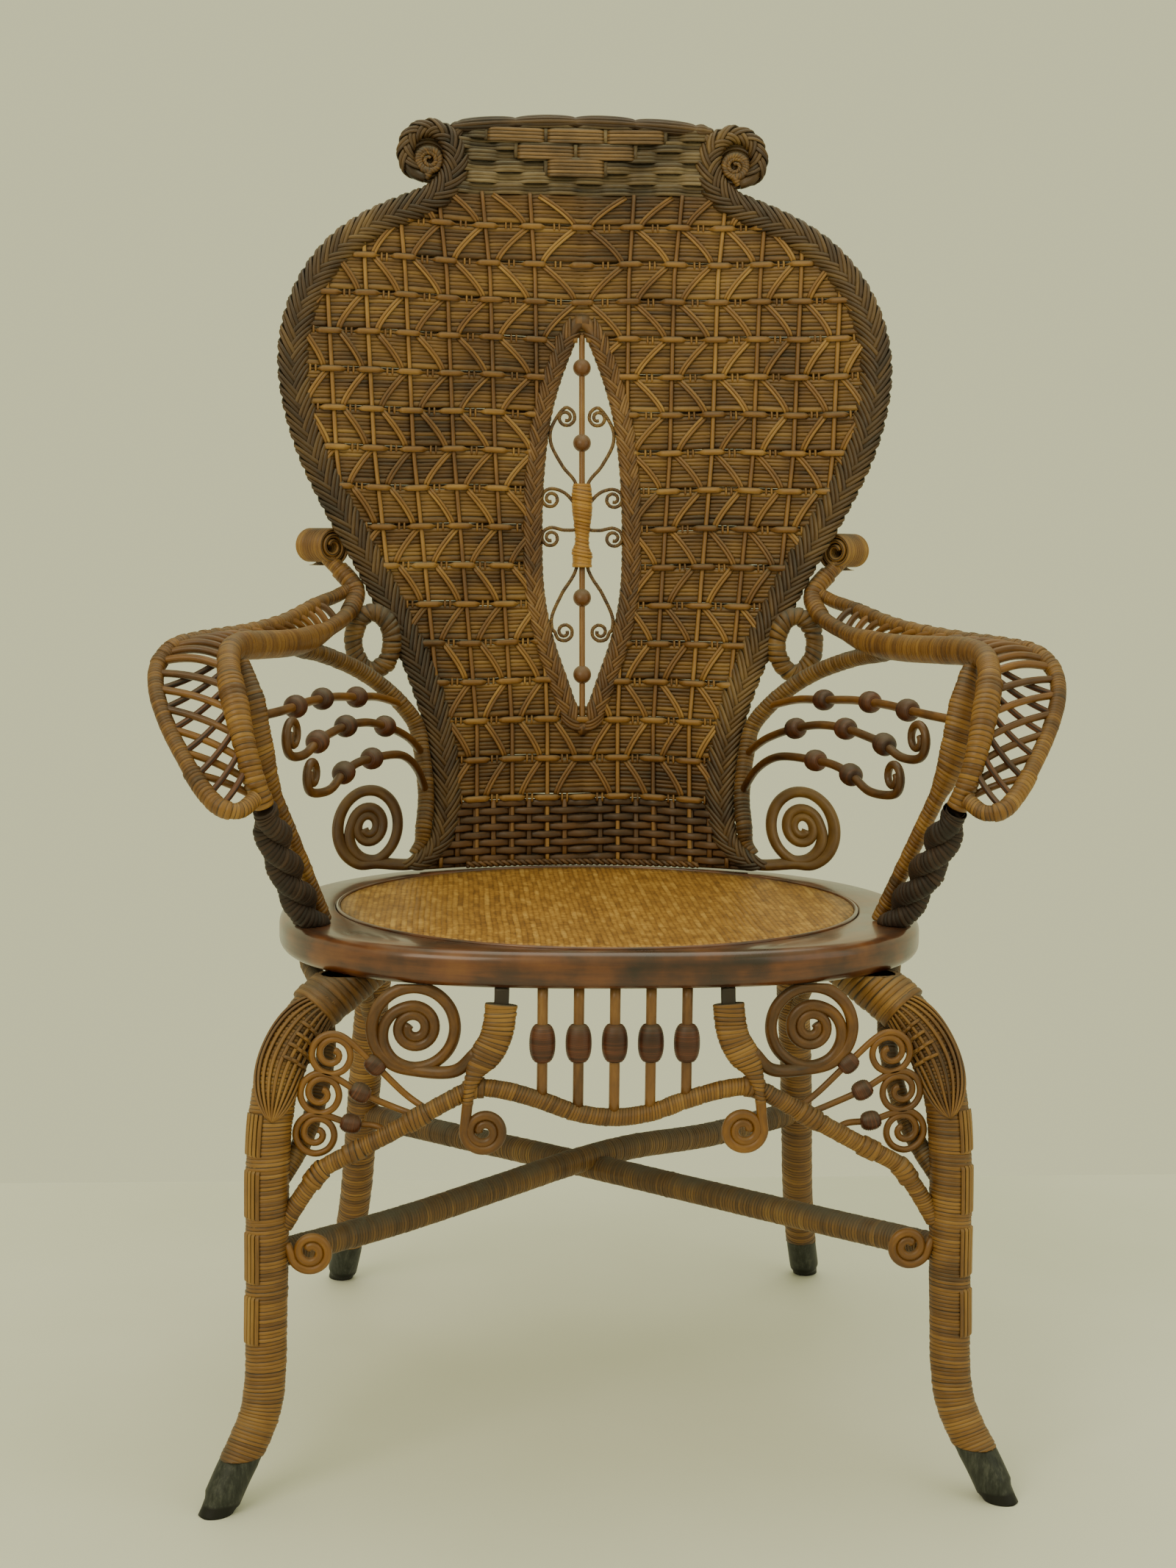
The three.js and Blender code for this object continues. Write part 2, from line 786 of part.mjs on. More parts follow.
// Braid on the right edge, from inside the volute down to the foot.
// Each row is the share of the half width, the share of the height, and the shares of the braid's half sizes.
const braidShares = [
  [0.56, 0.905, 0.32, 0.5],
  [0.6, 0.912, 0.45, 0.7],
  [0.628, 0.933, 0.52, 0.85],
  [0.608, 0.962, 0.6, 0.95],
  [0.545, 0.974, 0.66, 1],
  [0.483, 0.964, 0.76, 1],
  [0.452, 0.937, 0.86, 1],
  [0.468, 0.906, 0.9, 1],
  [0.522, 0.882, 0.92, 1],
  [0.604, 0.866, 0.95, 1],
  [0.679, 0.852, 0.97, 1],
  [0.76, 0.834, 1, 1],
  [0.843, 0.808, 1, 1],
  [0.92, 0.77, 1, 1],
  [0.978, 0.718, 1, 1],
  [1, 0.662, 1, 1],
  [0.985, 0.605, 1, 1],
  [0.935, 0.54, 1, 1],
  [0.851, 0.472, 1, 1],
  [0.748, 0.401, 1, 1],
  [0.655, 0.331, 1, 1],
  [0.569, 0.261, 1, 1],
  [0.507, 0.19, 1, 1],
  [0.478, 0.127, 1, 1],
  [0.474, 0.077, 0.95, 1],
  [0.5, 0.035, 0.8, 0.95],
  [0.575, 0.012, 0.6, 0.8],
];
const baseScrollSpread = backHalfWidth * baseScrollSpreadShare;
const baseScrollDepthSlope = (2 * footHollow * baseScrollSpread) / hollowHalfWidth ** 2;
const baseScrollSquash = 1 / Math.hypot(1, baseScrollDepthSlope);
const braidEdge = braidShares.map(([across, height]) => {
  return point(backHalfWidth * across, braidStandOff, backHeight * height);
});
const baseScroll = scrollPoints(
  point(baseScrollSpread, braidStandOff, baseScrollRadius * baseScrollRiseShare),
  sideways,
  upwards,
  baseScrollRadius,
  baseScrollEye,
  -quarterTurn * 1.15,
  2.45,
  11,
  baseScrollSquash,
);
const braidLine = [...braidEdge, ...baseScroll];
const scrollTaper = taper(baseScrollPole, baseScrollTip, baseScroll.length);
leastGap('the base scroll', baseScroll, scrollTaper);

function braidSolid(grown = 0) {
  const wides = [...braidShares.map((row) => braidHalfWidth * row[2]), ...scrollTaper];
  const deeps = [...braidShares.map((row) => braidHalfDepth * row[3]), ...scrollTaper];
  return pole(braidLine, wides, { deep: deeps, grown, sides: scrollSides });
}

// Where the braid's outer edge stands at a height above the floor.
function braidOuter(height) {
  const side = new THREE.CatmullRomCurve3(braidEdge.slice(15)).getPoints(120);
  const flatHeight = height - seatHeight;
  const nearest = side.reduce((best, place) => {
    return Math.abs(place.z - flatHeight) < Math.abs(best.z - flatHeight) ? place : best;
  });
  const x = nearest.x + braidHalfWidth;
  return bentPoint(point(x, braidStandOff, flatHeight));
}

const aboveSeatFlat = layer(clearance, workSpan / 2);
const braidFlat = braidSolid().intersect(aboveSeatFlat);
const braidFlatGrown = braidSolid(clearance);
const braid = bent(braidFlat);
const braidGrown = bent(braidFlatGrown);

// Rolled border along the crest between the volutes.
const crestHalf = backHalfWidth * 0.47;
const crestLine = [-1, -0.75, -0.4, 0, 0.4, 0.75, 1].map((share) => {
  return point(crestHalf * share, braidStandOff, backHeight - crestBorderRadius - crestArch * share * share);
});
const crestFlat = cutBy(
  pole(crestLine, crestBorderRadius, { fineness: 2 }),
  braidFlatGrown,
  mirrored(braidFlatGrown),
);
const crestGrown = pole(crestLine, crestBorderRadius, { fineness: 2, grown: clearance });

// Spiral cane in the eye of the volute, held by the inner end of the braid.
const eyeLine = scrollPoints(
  point(backHalfWidth * voluteSpreadShare, braidStandOff, backHeight * voluteRiseShare),
  sideways,
  upwards,
  voluteEyeRadius,
  voluteEyeEnd,
  -quarterTurn,
  1.3,
  10,
);
leastGap('the volute eye', eyeLine, [voluteCane, voluteCane]);
const voluteEye = cutBy(pole([braidEdge[0], ...eyeLine], voluteCane, { sides: scrollSides }), braidFlatGrown);

// Braid round the slit. Its two ends meet at the crossing on top.
const slitShares = [
  [0.03, 1],
  [0.3, 0.95],
  [0.55, 0.87],
  [0.77, 0.78],
  [0.95, 0.64],
  [1, 0.49],
  [0.95, 0.34],
  [0.74, 0.22],
  [0.42, 0.105],
  [0.2, 0.04],
];

function slitPoint([across, height]) {
  return point(slitHalfWidth * across, braidStandOff, mix(slitFoot, slitHead, height));
}

const slitHalf = slitShares.map(slitPoint);
const slitOther = slitHalf.map((place) => point(-place.x, place.y, place.z)).reverse();
const slitSpare = (slitBraidHalfWidth * 0.7) / slitHalfWidth;
const slitTop = slitPoint([-slitSpare, 1]);
const slitLow = slitPoint([-slitSpare, 0]);

function slitBraidSolid(grown = 0) {
  const size = slitBraidHalfWidth;
  const options = { deep: [slitBraidHalfDepth, slitBraidHalfDepth], grown, sides: scrollSides };
  const half = pole([slitTop, ...slitHalf, slitLow], size, options);
  const split = new THREE.BoxGeometry(workSpan, workSpan, slitHead - slitFoot);
  split.translate(clearance - workSpan / 2, 0, slitHead);
  const rightHalf = grown > 0 ? half : cutBy(half, asSolid(split));
  return joined(rightHalf, mirrored(rightHalf));
}

const slitBraidFlat = slitBraidSolid();
const slitBraidFlatGrown = slitBraidSolid(clearance);

// Panel: a thin woven plate between the braids, with pegs down into the seat ring.
function outlinePrism(points) {
  const shape = new THREE.Shape(points.map((place) => new THREE.Vector2(place.x, place.z)));
  const prism = new THREE.ExtrudeGeometry(shape, { depth: workSpan, bevelEnabled: false });
  prism.rotateX(quarterTurn);
  prism.translate(0, workSpan / 2, seatHeight);
  return asSolid(prism);
}

const panelEdge = braidEdge.slice(6);
const panelFoot = point(braidEdge[braidEdge.length - 2].x, 0, clearance);
const panelSide = [point(braidEdge[6].x, 0, crestLine[6].z), ...panelEdge.slice(0, -2), panelFoot];
const panelOther = panelSide.map((place) => point(-place.x, 0, place.z)).reverse();
const panelCrest = crestLine.slice(1, -1).map((place) => point(place.x, 0, place.z));
const panelOutline = [...panelSide, ...panelOther, ...panelCrest];

// Upright stakes swell the weave in front and behind, and they fan out upwards. A row is the share of
// the back's height, then the shares of its half width for the stakes' spacing and for their crowding.
const stakeShares = [
  [0.179, 0.123, 0],
  [0.542, 0.16, 0.003],
  [0.78, 0.171, 0.0037],
  [0.923, 0.201, 0.009],
];
const sideStakes = 6;
const stakeNumbers = Array.from({ length: sideStakes * 2 + 1 }, (unused, i) => i - sideStakes);
const stakeStep = backHalfWidth / sideStakes;
const weaveHalfWidth = backHalfWidth + braidHalfWidth * 4;

function stakePlace(number, height) {
  const share = Math.min(Math.max(height / backHeight, stakeShares[0][0]), stakeShares[3][0]);
  const above = Math.max(stakeShares.findIndex((row) => row[0] >= share), 1);
  const [lowShare, lowSpacing, lowCrowding] = stakeShares[above - 1];
  const [highShare, highSpacing, highCrowding] = stakeShares[above];
  const along = (share - lowShare) / (highShare - lowShare);
  const crowding = mix(lowCrowding, highCrowding, along) * number * Math.abs(number);
  return backHalfWidth * (mix(lowSpacing, highSpacing, along) * number - crowding);
}

// The weave is extruded upwards with its stakes evenly spaced, and then each is moved to its place.
function fannedPoint(place) {
  const nearest = Math.round(place.x / stakeStep);
  const number = Math.min(Math.max(nearest, -sideStakes), sideStakes);
  return point(stakePlace(number, place.z) + place.x - number * stakeStep, place.y, place.z);
}

const weaveSection = new THREE.Shape();
weaveSection.moveTo(-weaveHalfWidth, weaveFront);
for (const number of stakeNumbers) {
  const middle = number * stakeStep;
  weaveSection.lineTo(middle - stakeHalfWidth, weaveFront);
  weaveSection.lineTo(middle, stakeFront);
  weaveSection.lineTo(middle + stakeHalfWidth, weaveFront);
}
weaveSection.lineTo(weaveHalfWidth, weaveFront);
weaveSection.lineTo(weaveHalfWidth, weaveBack);
for (const number of stakeNumbers.toReversed()) {
  const middle = number * stakeStep;
  weaveSection.lineTo(middle + stakeSwellHalf, weaveBack);
  weaveSection.lineTo(middle, stakeBack);
  weaveSection.lineTo(middle - stakeSwellHalf, weaveBack);
}
weaveSection.lineTo(-weaveHalfWidth, weaveBack);
const weaveExtent = { depth: backHeight, steps: 4, bevelEnabled: false };
const weaveStock = new THREE.ExtrudeGeometry(weaveSection, weaveExtent);
const weave = bent(movedSolid(asSolid(weaveStock), fannedPoint));

// Split bands run across the stakes at every row.
const rowHeights = [];
for (let height = rowFoot; height < crestLine[0].z - rowRise * 2; height += rowRise) {
  rowHeights.push(height);
}
const rowBands = rowHeights.map((height) => {
  const line = stakeNumbers.map((number) => point(stakePlace(number, height), weaveFront / 2, height));
  return pole(line, rowBandHalfHeight, { deep: [rowBandHalfDepth, rowBandHalfDepth], sides: ribSides });
});
const panel = cutBy(
  joined(weave, ...rowBands.map(bent)).intersect(outlinePrism(panelOutline)),
  outlinePrism([...slitHalf, slitPoint([0, 0]), ...slitOther]),
  bent(slitBraidFlatGrown),
  braidGrown,
  mirrored(braidGrown),
  bent(crestGrown),
);
const pegPlaces = [-pegReach, 0, pegReach];

function pegSolid(x, grown = 0) {
  const depth = backDepth(x, 0) + (weaveFront + weaveBack) / 2;
  return upright(x, depth, pegRadius + grown, seatHeight - pegLength - grown, seatHeight + bite, 6);
}

const backPanel = joined(panel, ...pegPlaces.map((x) => pegSolid(x)));

// Fretwork in the slit: a beaded rod, two long canes with curls and the binding that holds them.
const slitRodLine = [0, 0.126, 0.322, 0.72, 0.915, 1].map((share) => {
  return point(0, braidStandOff, mix(slitFoot, slitHead, share));
});

function slitRodSolid(grown = 0) {
  const radii = slitRodLine.map(() => slitRodRadius);
  return beadedCane(slitRodLine, radii, [1, 2, 3, 4], slitBeadRadius, { sides: scrollSides, grown });
}

const slitRod = cutBy(slitRodSolid(), slitBraidFlatGrown);
const slitRodGrown = slitRodSolid(clearance);

function slitCurl(centre, startAngle, turns) {
  const place = slitPoint(centre);
  return scrollPoints(place, sideways, upwards, slitCurlRadius, slitCurlEye, startAngle, turns, 7);
}

const nearRod = (slitRodRadius + slitCane + clearance * 2) / slitHalfWidth;
const longCane = [
  ...slitCurl([0.33, 0.785], quarterTurn, 1.3).reverse(),
  slitPoint([0.62, 0.76]),
  slitPoint([0.64, 0.72]),
  slitPoint([0.4, 0.66]),
  slitPoint([nearRod, 0.61]),
  slitPoint([nearRod, 0.4]),
  slitPoint([0.42, 0.33]),
  slitPoint([0.62, 0.27]),
  slitPoint([0.6, 0.24]),
  ...slitCurl([0.36, 0.235], 0, -1.25),
];
const sideCane = [
  ...slitCurl([0.64, 0.575], quarterTurn, -1.2).reverse(),
  slitPoint([0.35, 0.59]),
  slitPoint([nearRod, 0.55]),
  slitPoint([nearRod, 0.5]),
  slitPoint([0.35, 0.495]),
  ...slitCurl([0.64, 0.475], quarterTurn, -1.2),
];
const bothCanes = joined(
  pole(longCane, slitCane, { sides: ribSides }),
  pole(sideCane, slitCane, { sides: ribSides }),
);
const bothCanesGrown = joined(
  pole(longCane, slitCane, { sides: ribSides, grown: clearance }),
  pole(sideCane, slitCane, { sides: ribSides, grown: clearance }),
);
const slitScroll = cutBy(bothCanes, slitRodGrown, slitBraidFlatGrown);
const bindingProfile = [
  [0, 0.4],
  [1, 0.4],
  [1, 0.44],
  [0.75, 0.49],
  [1, 0.56],
  [0.8, 0.615],
  [0, 0.615],
].map(([r, share]) => new THREE.Vector2(bindingRadius * r, mix(slitFoot, slitHead, share)));
const bindingLathe = new THREE.LatheGeometry(bindingProfile, poleSides);
bindingLathe.rotateX(quarterTurn);
bindingLathe.translate(0, braidStandOff, 0);
const slitBinding = cutBy(asSolid(bindingLathe), slitRodGrown, bothCanesGrown, mirrored(bothCanesGrown));

// Arms. A row is the share of the way out from the edge of the braid to the arm's spread,
// the share of the way back from the arm's front to that edge, and the share of the arm's height.
function armPoint([across, along, height]) {
  const edge = braidOuter(seatHeight + armHeight * height);
  return point(mix(edge.x, armSpread, across), mix(-armReach, edge.y, along), edge.z);
}

const rollHeight = seatHeight + armHeight * rollRiseShare;
const rollSeat = braidOuter(rollHeight);
const rollAxis = point(0.62, 0.79, 0).normalize();
const rollAcross = point(-rollAxis.y, rollAxis.x, 0);
const rollCentre = point(rollSeat.x + rollRadius * 0.55, rollSeat.y + rollRadius * 0.1, rollHeight);

function rollSolid(grown = 0) {
  const turns = 1.6;
  const flat = scrollPoints(point(0, 0, 0), sideways, backwards, rollRadius, rollEye, -quarterTurn, turns, 12);
  const band = rollBand / 2 + grown;
  const outer = flat.map((place) => new THREE.Vector2(place.x, place.y).setLength(place.length() + band - rollBand / 2));
  const inner = flat.map((place) => new THREE.Vector2(place.x, place.y).setLength(place.length() - band - rollBand / 2));
  const shape = new THREE.Shape([...outer, ...inner.reverse()]);
  const barrel = new THREE.ExtrudeGeometry(shape, { depth: rollLength + grown * 2, bevelEnabled: false });
  barrel.translate(0, 0, -grown);
  const basis = new THREE.Matrix4().makeBasis(upwards.clone().cross(rollAxis), upwards, rollAxis);
  barrel.applyMatrix4(basis);
  barrel.translate(rollCentre.x, rollCentre.y, rollCentre.z);
  return asSolid(barrel);
}

// A full drum over the roll, used only to cut what butts against it.
function rollDrum() {
  const drum = new THREE.CylinderGeometry(rollRadius + clearance, rollRadius + clearance, rollLength + bite, 16);
  drum.translate(0, rollLength / 2, 0);
  const basis = new THREE.Matrix4().makeBasis(rollAxis.clone().cross(upwards), rollAxis, upwards);
  drum.applyMatrix4(basis);
  drum.translate(rollCentre.x, rollCentre.y, rollCentre.z);
  return asSolid(drum);
}

const stemTop = rollCentre.clone().addScaledVector(rollAxis, rollLength * 0.25);
stemTop.z -= rollRadius * 0.5;
const stemLow = braidOuter(seatHeight + armHeight * 1.16);
stemLow.x += armRailRadius * 1.6;
const stemBend = braidOuter(seatHeight + armHeight * 1.08);
stemBend.x += armRailRadius * 3.4;
stemBend.y -= armRailRadius * 2;
const armRailShares = [
  [0.305, 0.848, 1.01],
  [0.397, 0.735, 0.98],
  [0.489, 0.563, 0.975],
  [0.585, 0.367, 0.985],
  [0.641, 0.247, 0.99],
  [0.678, 0.168, 0.975],
  [0.678, 0.107, 0.905],
  [0.66, 0.07, 0.795],
  [0.64, 0.049, 0.67],
  [0.617, 0.052, 0.55],
  [0.591, 0.066, 0.465],
];
const armRailLine = [stemTop, stemLow, stemBend, ...armRailShares.map(armPoint)];
const thin = armRailRadius;
const armRailWides = [
  thin, thin, thin, thin,
  armRailHalfHeight, armRailHalfHeight, armRailHalfHeight, armRailHalfHeight, armRailHalfWidth,
  armRailHalfWidth, armRailHalfWidth, thin, thin, thin,
];
const armRailDeeps = [
  thin, thin, thin, thin,
  armRailHalfWidth, armRailHalfWidth, armRailHalfWidth, armRailHalfWidth, armRailHalfWidth,
  armRailHalfWidth, armRailHalfWidth, thin, thin, thin,
];

function armRailSolid(grown = 0) {
  return pole(armRailLine, armRailWides, { deep: armRailDeeps, facing: sideways, grown });
}

const armRoll = cutBy(rollSolid(), braidGrown);
const armRail = cutBy(armRailSolid(), rollDrum(), braidGrown);
const armRailGrown = armRailSolid(clearance);

// Outer rail of the arm: it leaves the stem, sweeps out and turns down and in to the post.
const wingShares = [
  [0.202, 0.993, 1.14],
  [0.306, 0.942, 1.115],
  [0.385, 0.858, 1.09],
  [0.487, 0.699, 1.055],
  [0.592, 0.512, 1.035],
  [0.716, 0.368, 1.022],
  [0.836, 0.256, 1.012],
  [0.941, 0.186, 0.99],
  [1, 0.149, 0.93],
  [0.996, 0.114, 0.85],
  [0.952, 0.084, 0.75],
  [0.88, 0.052, 0.635],
  [0.799, 0.019, 0.525],
  [0.73, 0, 0.47],
  [0.67, 0.007, 0.462],
  [0.611, 0.033, 0.5],
];
const wingLine = wingShares.map(armPoint);

// Lattice ribs run from the outer rail towards the inner rail and the front pole.
const topRibShares = [
  [0.17, 0.26],
  [0.27, 0.36],
  [0.37, 0.46],
  [0.47, 0.54],
];
const facePairShares = [
  [0.53, 0.66],
  [0.6, 0.72],
  [0.68, 0.79],
  [0.65, 0.6],
  [0.74, 0.67],
  [0.84, 0.76],
];
const wingCurve = new THREE.CatmullRomCurve3(wingLine);
const railCurve = new THREE.CatmullRomCurve3(armRailLine);

function ribSolid(outerShare, innerShare) {
  const from = wingCurve.getPoint(outerShare);
  const to = railCurve.getPoint(innerShare);
  return pole([from, to], latticeRadius, { sides: ribSides, facing: backwards });
}

const topRibs = topRibShares.map(([outer, inner]) => ribSolid(outer, inner));
const faceRibs = facePairShares.map(([outer, inner]) => ribSolid(outer, inner));

function wingSolid(grown = 0) {
  return pole(wingLine, wingRadius, { sides: scrollSides, facing: sideways, grown });
}

const armWing = cutBy(joined(wingSolid(), ...topRibs, ...faceRibs), armRailGrown, braidGrown, rollDrum());
const wingGrown = wingSolid(clearance);

// Dark twisted post under the front pole, and the light post behind it.
const twistFoot = point(seatHalfWidthAt(-twistFootReach, postInset), -twistFootReach, seatHeight - clearance);
const twistTop = armRailLine[armRailLine.length - 1].clone();
const twistShares = [-0.02, 0.12, 0.25, 0.37, 0.5, 0.62, 0.75, 0.87, 1.02];
const twistLine = twistShares.map((share) => {
  const place = twistFoot.clone().lerp(twistTop, share);
  place.x += twistPostRadius * 0.2 * Math.sin(share * Math.PI);
  return place;
});

function twistSolid(grown = 0) {
  const post = pole(twistLine, twistPostRadius, {
    deep: [twistPostWaist, twistPostWaist],
    twist: twistTurns,
    fineness: 2,
    sides: scrollSides,
    grown,
  });
  return post.intersect(layer(seatHeight + clearance - grown, workSpan / 2));
}

function postTenon(foot, grown = 0) {
  return upright(foot.x, foot.y, postTenonRadius + grown, seatHeight - tenonLength - grown, seatHeight + bite);
}

const twistPost = cutBy(joined(twistSolid(), postTenon(twistFoot)), armRailGrown, wingGrown);
const twistGrown = twistSolid(clearance);

const innerFoot = point(seatHalfWidthAt(-innerFootReach, innerPostInset), -innerFootReach, seatHeight - clearance);
const innerShares = [
  [0.567, 0.216, 0.47],
  [0.583, 0.195, 0.62],
  [0.571, 0.189, 0.8],
  [0.55, 0.189, 0.97],
];
const innerMiddle = innerFoot.clone().lerp(armPoint(innerShares[0]), 0.5);
const innerLine = [innerFoot, innerMiddle, ...innerShares.map(armPoint)];

function innerSolid(grown = 0) {
  const round = innerPostRadius;
  const post = pole(innerLine, [round, round, round, innerPostHalfWidth, innerPostHalfWidth, innerPostHalfWidth], {
    deep: [round, round, round, innerPostHalfDepth, innerPostHalfDepth, innerPostHalfDepth],
    fineness: 2,
    grown,
  });
  return post.intersect(layer(seatHeight + clearance - grown, workSpan / 2));
}

const innerPost = cutBy(joined(innerSolid(), postTenon(innerFoot)), armRailGrown, twistGrown, wingGrown);
const innerGrown = innerSolid(clearance);

// Stay: from under the rail it curves back and down along the edge of the braid.
const stayFootShares = [
  [0.182, 0.95, 0.5],
  [0.286, 0.97, 0.6],
  [0.386, 0.98, 0.8],
  [0.495, 1, 1],
  [0.605, 1.05, 1.2],
];
const stayFoot = stayFootShares.map(([height, outward, forward]) => {
  const edge = braidOuter(seatHeight + armHeight * height);
  return point(edge.x + stayRadius * outward, edge.y - stayRadius * forward, edge.z);
});
const stayShares = [
  [0.076, 0.949, 0.7],
  [0.14, 0.922, 0.775],
  [0.221, 0.884, 0.84],
  [0.303, 0.834, 0.885],
  [0.385, 0.772, 0.92],
  [0.449, 0.697, 0.94],
];
const stayLine = [...stayFoot, ...stayShares.map(armPoint)];

function staySolid(grown = 0) {
  return pole(stayLine, stayRadius, { sides: scrollSides, facing: sideways, grown });
}

const armStay = cutBy(staySolid(), braidGrown, armRailGrown);
const stayGrown = staySolid(clearance);

// Wrapped ring between the stem, the stay and the braid.
const ringSeat = braidOuter(seatHeight + armHeight * 0.95);
const ringProfile = Array.from({ length: 7 }, (unused, i) => {
  const angle = (fullTurn * i) / 6;
  return new THREE.Vector2(1 + (ringRadius / ringHalfWidth) * Math.cos(angle), Math.sin(angle));
});

function ringSolid() {
  const hoop = new THREE.LatheGeometry(ringProfile, 14);
  hoop.rotateX(quarterTurn);
  hoop.rotateX(quarterTurn);
  hoop.scale(ringHalfWidth, ringRadius, ringHalfHeight);
  hoop.translate(ringSeat.x + ringHalfWidth + ringRadius * 0.07, ringSeat.y - ringRadius * 0.9, ringSeat.z);
  return asSolid(hoop);
}

const armRing = cutBy(ringSolid(), braidGrown, armRailGrown, stayGrown);

// Three beaded canes from the stay to the posts. The lower two end in a curl.
const stayRun = new THREE.CatmullRomCurve3(stayLine).getPoints(stayLine.length * 8);

function stayAt(share) {
  const height = seatHeight + armHeight * share;
  return stayRun.find((place) => place.z >= height).clone();
}

const webAcross = point(0.3, -0.954, 0).normalize();
const webFacing = point(-webAcross.y, webAcross.x, 0);
const caneShares = [
  {
    root: 0.695,
    line: [
      [0.162, 0.853, 0.735],
      [0.25, 0.737, 0.75],
      [0.326, 0.625, 0.765],
      [0.378, 0.527, 0.77],
      [0.429, 0.433, 0.77],
      [0.47, 0.345, 0.765],
      [0.522, 0.257, 0.76],
      [0.582, 0.186, 0.755],
    ],
    beads: [2, 4, 6],
  },
  {
    root: 0.49,
    line: [
      [0.073, 0.875, 0.57],
      [0.153, 0.741, 0.635],
      [0.226, 0.636, 0.665],
      [0.302, 0.543, 0.665],
      [0.366, 0.449, 0.65],
      [0.407, 0.366, 0.635],
      [0.456, 0.301, 0.6],
    ],
    beads: [2, 4, 6],
    curl: [0.485, 0.243, 0.675],
    radius: upperCurlRadius,
  },
  {
    root: 0.33,
    line: [
      [0.054, 0.888, 0.44],
      [0.105, 0.77, 0.515],
      [0.223, 0.613, 0.53],
      [0.28, 0.543, 0.525],
      [0.333, 0.482, 0.5],
      [0.383, 0.394, 0.455],
    ],
    beads: [3, 5],
    curl: [0.436, 0.302, 0.525],
    radius: lowerCurlRadius,
  },
];
const armCanes = caneShares.map((row) => {
  const run = [stayAt(row.root), ...row.line.map(armPoint)];
  const curl = row.curl
    ? scrollPoints(armPoint(row.curl), webAcross, upwards, row.radius, armCurlEye, -quarterTurn, 1.35, 9)
    : [];
  if (row.curl) {
    leastGap('an arm curl', curl, [armCaneRadius, armCaneRadius * 0.75]);
  }
  const line = [...run, ...curl];
  const radii = [...run.map(() => armCaneRadius), ...taper(armCaneRadius, armCaneRadius * 0.75, curl.length + 1)];
  const options = { sides: caneSides, facing: webFacing };
  const cane = beadedCane(line, radii, row.beads, armBeadRadius, options);
  return cutBy(cane, stayGrown, innerGrown, armRailGrown, braidGrown, twistGrown);
});

// Seat ring last, because every tenon and peg has its socket in it.
const seatOutline = Array.from({ length: seatSides }, (unused, i) => seatEdge((fullTurn * i) / seatSides));
const seatPlate = new THREE.ExtrudeGeometry(new THREE.Shape(seatOutline), {
  depth: seatThickness - seatEdgeRound * 2,
  bevelThickness: seatEdgeRound,
  bevelSize: seatEdgeRound,
  bevelOffset: -seatEdgeRound,
  bevelSegments: 2,
});
seatPlate.translate(0, 0, seatBottom + seatEdgeRound);
const recessFloor = seatHeight - caneThickness - clearance;
const groove = caneDisc(grooveOuter, seatHeight - grooveDepth, seatHeight + bite);
const grooveCore = caneDisc(caneLand, seatBottom - bite, seatHeight + bite * 2);
const sockets = [];
for (const mirror of [(solid) => solid, mirrored]) {
  for (const kind of legKinds) {
    const tenonRadius = legTenonRadius + clearance;
    const socketTop = seatBottom + tenonLength + clearance;
    sockets.push(mirror(upright(kind.top.x, kind.top.y, tenonRadius, seatBottom - bite, socketTop)));
  }
  sockets.push(mirror(postTenon(twistFoot, clearance)));
  sockets.push(mirror(postTenon(innerFoot, clearance)));
}
const seatFrame = cutBy(
  asSolid(seatPlate),
  caneDisc(0, seatBottom - bite, seatHeight + bite),
  caneDisc(grooveOuter, recessFloor, seatHeight + bite),
  cutBy(groove, grooveCore),
  ...sockets,
  ...pegPlaces.map((x) => pegSolid(x, clearance)),
  ...spindlePlaces.map((x) => spindleSolid(x, clearance)),
);
const hemInner = caneLand + clearance;
const hemOuter = hemInner + caneThickness;
const hemFloor = seatHeight - grooveDepth + clearance;
const seatCane = joined(
  caneDisc(hemOuter, seatHeight - caneThickness, seatHeight),
  cutBy(
    caneDisc(hemOuter, hemFloor, seatHeight - caneThickness / 2),
    caneDisc(hemInner, hemFloor - bite, seatHeight + bite),
  ),
);
const seatSpline = cutBy(
  caneDisc(grooveOuter - clearance, hemFloor, seatHeight),
  caneDisc(hemOuter + clearance, hemFloor - bite, seatHeight + bite),
);

// Finishes
const finishes = {
  varnish: new THREE.MeshStandardMaterial({ color: 0x6e3a1e, roughness: 0.3, metalness: 0 }),
  cane: new THREE.MeshStandardMaterial({ color: 0xb8843c, roughness: 0.6, metalness: 0 }),
  wrap: new THREE.MeshStandardMaterial({ color: 0x9a6430, roughness: 0.6, metalness: 0 }),
  weave: new THREE.MeshStandardMaterial({ color: 0x7f5a30, roughness: 0.7, metalness: 0 }),
  dark: new THREE.MeshStandardMaterial({ color: 0x35241a, roughness: 0.6, metalness: 0 }),
  bead: new THREE.MeshStandardMaterial({ color: 0x5a2f1c, roughness: 0.5, metalness: 0 }),
  ferrule: new THREE.MeshStandardMaterial({ color: 0x3a3b3a, roughness: 0.5, metalness: 0.2 }),
};

const chair = new THREE.Group();

function addPiece(name, solid, finish) {
  const mesh = new THREE.Mesh(asGeometry(solid), finishes[finish].clone());
  mesh.geometry.computeVertexNormals();
  mesh.name = name;
  chair.add(mesh);
}

function addPair(name, solid, finish) {
  addPiece(`${name}_right`, solid, finish);
  addPiece(`${name}_left`, mirrored(solid), finish);
}

